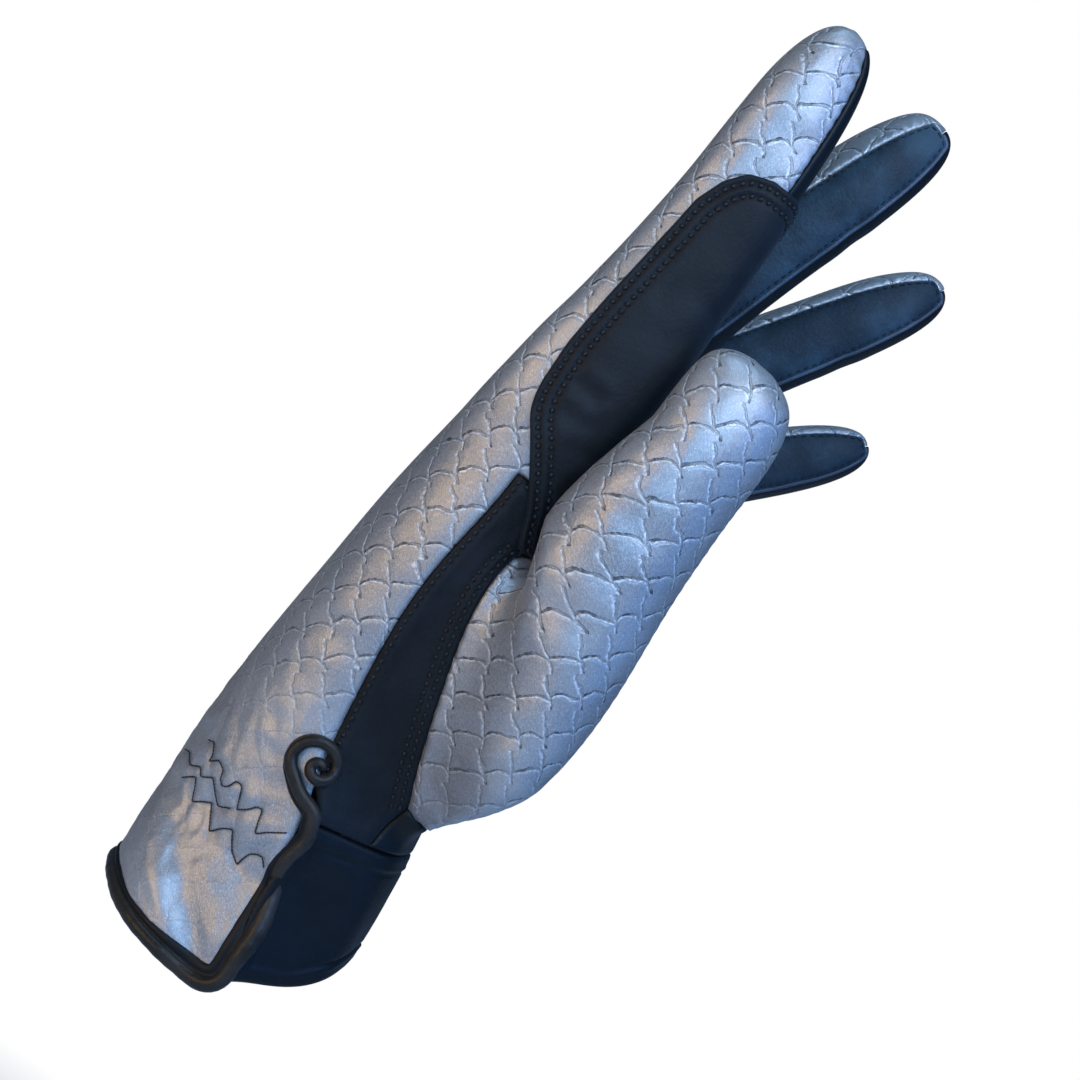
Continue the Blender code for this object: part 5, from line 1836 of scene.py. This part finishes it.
def rim_numbers(rows, columns):
    """Border points of the grid in order, from the foot up the left edge and round."""
    wide = columns + 1
    left = range(0, rows * wide, wide)
    top = range(rows * wide, rows * wide + columns)
    right = range(rows * wide + columns, columns, -wide)
    foot = range(columns, 0, -1)
    return [*left, *top, *right, *foot]


patch_spots, patch_normals = lay_patch()
patch_faces = grid_faces(*PATCH_GRID)
patch_rim = rim_numbers(*PATCH_GRID)
print("patch grid:", len(patch_spots), "points")

# %% Raise it, crease it and stitch it

PATCH_CREASES = rows_of(
    "line width depth",
    ([(566, 376), (584, 392), (604, 412)], 2.0, 0.75),
    ([(556, 402), (578, 420), (606, 436)], 2.6, 0.50),
    ([(556, 446), (584, 452), (610, 450)], 2.8, 0.40),
    ([(640, 318), (664, 338), (700, 346)], 3.4, 0.22),
)
patch_tree = BVHTree.FromPolygons(patch_spots.tolist(), patch_faces)
outer_edge = patch_spots[patch_rim[:PATCH_GRID[0] + PATCH_GRID[1] + 1]]
PATCH_ROWS = []
for inset in (1.7, 4.2):
    for side in (1, -1):
        row = row_beside(outer_edge, inset, patch_tree, side)
        gap = np.min(np.linalg.norm(row[:, None] - outer_edge[None, ::4], axis=2)) if len(row) else 0.0
        if len(row) > 40 and gap > inset * 0.7:
            PATCH_ROWS.append(row)
print("rows on the patch:", [len(row) for row in PATCH_ROWS])


def raise_patch():
    """The patch as a closed piece: raised top, rounded edge and underside."""
    away = gaps_to(patch_spots[patch_rim], patch_spots)
    high = PATCH_LIFT + LEATHER_WALL - round_off(away, PATCH_ROUND) * (LEATHER_WALL - 0.15)
    high += press_rows(patch_spots, PATCH_ROWS, 0.46, 0.75)
    high += 0.10 * np.exp(-((away - 2.9) / 0.9) ** 2)
    for crease in PATCH_CREASES:
        distance, _, along = to_line(patch_spots, from_photo(crease["line"]))
        reach = distance / crease["width"]
        fade = step_of(along, 0.0, 0.3) * step_of(along, 1.0, 0.7) * step_of(away, 3.0, 7.0)
        high += fade * crease["depth"] * (0.6 * np.exp(-(reach - 1.7) ** 2) - np.exp(-reach ** 2))
    top = patch_spots + patch_normals * high[:, None]
    low = patch_spots + patch_normals * (PATCH_LIFT * 0.3)
    count = len(top)
    faces = list(patch_faces)
    faces += [tuple(count + number for number in reversed(face)) for face in patch_faces]
    for start, stop in zip(patch_rim, patch_rim[1:] + patch_rim[:1]):
        faces.append((start, stop, count + stop, count + start))
    return mesh_piece("dressed_index_patch", np.concatenate([top, low]), faces, SUEDE)


patch = raise_patch()
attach(patch, "root")
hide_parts("index_patch")

# %% [markdown]
# ## The bound edge and its curl
# The back's hem and the vent are bound with a strip of soft leather. Outside it is rolled round a
# cord, and its other edge lies flat on the fabric, with a dark line between them. The two tones are
# painted: the roll brown as painted warm light, the flat lip near-black as painted shade. At the top
# of the vent the strip leaves the edge, lies on the fabric and curls up like a snail. One path does it
# all, and the section changes along it: widest at the hem's lowest corner, slim along the vent, and a
# plain round roll in the curl.

# %% The binding's path
CURL_TURN = 640.0         # degrees that the curl turns from its start
CURL_INNER = 0.35         # radius where it ends
CURL_SHIFT = (1.3, -0.4)  # how far the middle of its inner turn lies from that of the outer one
CURL_WIDE = 4.5           # radius of its outer turn


def free_edge():
    """The back panel's free edge, from the little finger's side over the back to the vent."""
    line = chain(free_edges[free_owners == PANELS.index("back_panel")])
    spots = fine["spots"][line]
    if spots[0, 1] < spots[-1, 1]:
        line.reverse()
    return np.array(line)


def curl_spots():
    """The curl in the x-z plane, from the top of the vent to the middle of the snail."""
    side = HAND_ROWS[0]["side"] * HAND_DEPTH
    middle_x = HAND_ROWS[1]["side"] * HAND_DEPTH
    middle_z = HAND_ROWS[1]["height"] * HAND_LENGTH
    flat = [(side + away, middle_z * lift) for away, lift in zip(VENT_AWAY, VENT_LIFT[1:])]
    flat.append((middle_x + CURL_LEAD[0], middle_z - LOOP_RADIUS * CURL_LEAD[1]))
    for turn in range(41):
        turned = CURL_TURN * turn / 40
        angle = math.radians(CURL_START - turned)
        inner = float(step_of(np.float64(turned), 215.0, 350.0))
        radius = lerp(CURL_WIDE, 1.75, inner)
        radius = lerp(radius, CURL_INNER, float(share_of(np.float64(turned), 360.0, CURL_TURN)))
        flat.append((middle_x + CURL_SHIFT[0] * inner + radius * math.cos(angle),
                     middle_z + CURL_SHIFT[1] * inner + radius * math.sin(angle)))
    return flat


def binding_path():
    """Points, normals, and how many of them lie on the panel's edge."""
    line = free_edge()
    spots = fine["spots"][line]
    cuff_top = HAND_ROWS[0]["height"] * HAND_LENGTH
    stop = np.flatnonzero((spots[:, 1] < 0) & (spots[:, 2] > cuff_top * VENT_LIFT[0]))[0]
    spots = smooth_line(spots[:stop], 5)[::3]
    normals = fine["normals"][line][:stop][::3]
    path = list(zip(spots, normals))
    for x, z in curl_spots():
        hit, normal = skin_tree.find_nearest(Vector((x, -WRIST_BREADTH / 2, z)))[:2]
        normal = np.array(normal) * (1 if normal.y < 0 else -1)
        path.append((np.array((x, hit.y, z)), normal))
    return path, len(spots)


def fine_path(path, marked, step):
    """A smooth line at an even step, its normals, and where the marked point has gone."""
    spots = np.array([spot for spot, normal in path])
    normals = smooth_line([normal for spot, normal in path], 2)
    run = run_along(spots)
    marks = np.linspace(0, run[-1], int(run[-1] / step) + 1)
    turned = smooth_line(at_marks(normals, run, marks), 12)
    turned /= np.linalg.norm(turned, axis=1)[:, None]
    return smooth_line(at_marks(spots, run, marks), 7), turned, marks - run[marked]


path, on_edge = binding_path()
bind_spots, bind_normals, bind_run = fine_path(path, on_edge - 1, 0.45)
corner = np.argmin(np.where(bind_spots[:, 1] < 0, bind_spots[:, 2], 99))
print("binding:", round(float(bind_run[-1] - bind_run[0])), "mm long")

# %% Its changing section
def along_binding(hem, low_corner, vent, throat, curl):
    """A number for every point of the path, blended from its values in five places."""
    past = bind_run - bind_run[corner]
    value = hem + (vent - hem) * step_of(past, -2.0, 12.0)
    value = value + (low_corner - value) * np.exp(-(past / 11.0) ** 2)
    value = value + (throat - value) * np.exp(-((bind_run + 13.0) / 8.5) ** 2)
    return value + (curl - value) * step_of(bind_run, -4.0, 5.0)


def frame_of(spots, normals, flip):
    """Directions along, across and up at each point of a path."""
    way = np.gradient(spots, axis=0)
    way /= np.linalg.norm(way, axis=1)[:, None]
    across = np.cross(normals, way) * flip
    across /= np.linalg.norm(across, axis=1)[:, None]
    return way, across, np.cross(way, across) * flip


def loft(name, rings, finish):
    """A closed skin over rings of points."""
    count, sides = rings.shape[:2]
    faces = []
    for place in range(count - 1):
        for side in range(sides):
            after = (side + 1) % sides
            low = place * sides
            faces.append((low + side, low + after, low + sides + after, low + sides + side))
    faces.append(tuple(range(sides - 1, -1, -1)))
    faces.append(tuple(range((count - 1) * sides, count * sides)))
    made = mesh_piece(name, rings.reshape(-1, 3), faces, finish)
    made.data.validate()
    return made


way, across, up = frame_of(bind_spots, bind_normals, 1)
panel_middle = fine["spots"][points_of(fine, "back_panel")].mean(axis=0)
hem_part = bind_run < -60
inward = np.mean(np.sum(across[hem_part] * (panel_middle - bind_spots[hem_part]), axis=1))
flip = -1 if inward > 0 else 1
way, across, up = frame_of(bind_spots, bind_normals, flip)
if np.mean(np.sum(up * bind_normals, axis=1)) < 0:
    up = -up
roll = along_binding(1.50, 1.65, 1.40, 2.00, 1.45)
centre = along_binding(2.0, 2.8, 1.75, 3.4, 0.0)
lip = along_binding(-0.8, -1.3, -1.2, -1.4, -2.2)
lift = along_binding(-0.35, -0.45, -0.20, -0.30, 0.95)
lip_lift = along_binding(0.45, 0.50, 0.45, 0.45, 0.35)
deep = step_of(bind_run, 24.0, 40.0)
roll = roll - 0.25 * deep
lift = lift - 0.35 * deep
lip = lip * (1 - deep) - 0.9 * deep
wrinkle = 1 + 0.020 * np.sin(bind_run * 1.9) + 0.025 * np.sin(bind_run * 0.71 + 1.0)
LIP_FOOT = -1.0           # the lip's underside, sunk in the fabric
ROLL_STEPS = 17           # points round the roll, then the groove and the lip
section_points = []
for degrees in np.linspace(-125, 150, ROLL_STEPS):
    angle = math.radians(degrees)
    radius = roll * wrinkle
    section_points.append((centre + radius * math.cos(angle), lift + radius * math.sin(angle)))
groove = centre - roll * 0.92
section_points.append((groove - 0.12, lift + roll * 0.12))
for share, high in ((0.25, 0.75), (0.5, 1.0), (0.78, 0.85), (0.95, 0.35), (1.0, -0.3)):
    section_points.append((lerp(groove - 0.2, lip, share), lip_lift * high * wrinkle))
section_points.append((lerp(groove, lip, 0.7), np.full_like(lift, LIP_FOOT)))
section_points.append((centre - roll * 0.7, lift - roll * 0.8))
rings = np.stack([bind_spots + across * a[:, None] + up * b[:, None] for a, b in section_points], axis=1)
ends = np.clip(np.minimum(bind_run - bind_run[0], bind_run[-1] - bind_run) / 1.2, 0, 1)
ends = np.sqrt(1 - (1 - ends) ** 2) * 0.98 + 0.02
middle = rings.mean(axis=1, keepdims=True)
binding = loft("dressed_edge_binding", middle + (rings - middle) * ends[:, None, None], BINDING_PAINTED_WARM_LIGHT)
binding.data.materials.append(INNER_LIP_PAINTED_SHADE)
# Faces of the flat lip take the painted shade, those of the roll the painted warm light.
sides = len(section_points)
for face in binding.data.polygons[:-2]:
    face.material_index = 1 if ROLL_STEPS <= face.index % sides < sides - 1 else 0
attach(binding, "root")
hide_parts("edge_binding")
print("binding:", len(binding.data.polygons), "faces")

# %% A plain round tube along a path
def tube(name, spots, normals, width, finish, sides=10):
    """A round cord along a path, with rounded ends."""
    across, up = frame_of(spots, normals, 1)[1:]
    run = run_along(spots)
    ends = np.clip(np.minimum(run, run[-1] - run) / width, 0, 1)
    thick = width / 2 * (np.sqrt(1 - (1 - ends) ** 2) * 0.95 + 0.05)
    rings = []
    for side in range(sides):
        angle = 2 * math.pi * side / sides
        reach = across * math.cos(angle) + up * math.sin(angle)
        rings.append(spots + reach * thick[:, None])
    return loft(name, np.stack(rings, axis=1), finish)


# %% [markdown]
# ## Piping on the finger sides
# Along the palm's seams of the fingers the leather is folded round a thin cord, which gives the fine
# bright line there. A thin tube, half sunk in the seam, does the same, and its leather is painted
# lighter and bluer as a painted highlight.

# %% Piped seams and all the threads
PIPING = 0.9
for node in FINGER_GAPS:
    line = even_line(smooth_line(seam_points(node, "palm_panel"), 6), 0.6)
    laid, normals = lay_on(skin_tree, line, -0.12)
    # The cord's leather carries the painted highlight.
    cord = tube("piping_" + node, laid, normals, PIPING, PIPED_PAINTED_HIGHLIGHT)
    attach(cord, "root")

threads("stitches_gusset", GUSSET_ROWS, STITCHES, BLACK_THREAD, Pitch=1.9, Length=1.15, Thread=0.85)
threads("stitches_finger_sides", GAP_ROWS, STITCHES, BLACK_THREAD, Pitch=1.8, Length=1.2,
        Thread=0.34)
THREAD_SINK = 0.22        # threads lie in the patch by this much
lifted = []
for row in PATCH_ROWS:
    laid, normals = lay_on(patch_tree, row, 0.0)
    facing = normals * np.where(normals[:, 1:2] < 0, 1, -1)
    lifted.append(laid + facing * (PATCH_LIFT + LEATHER_WALL - THREAD_SINK))
threads("stitches_patch", lifted, STITCHES, BLACK_THREAD, Pitch=1.85, Length=1.10, Thread=0.95)
threads("stitches_wrist", WRIST_ROWS, ZIGZAG, GREY_THREAD, Thread=0.36, Reach=1.25)
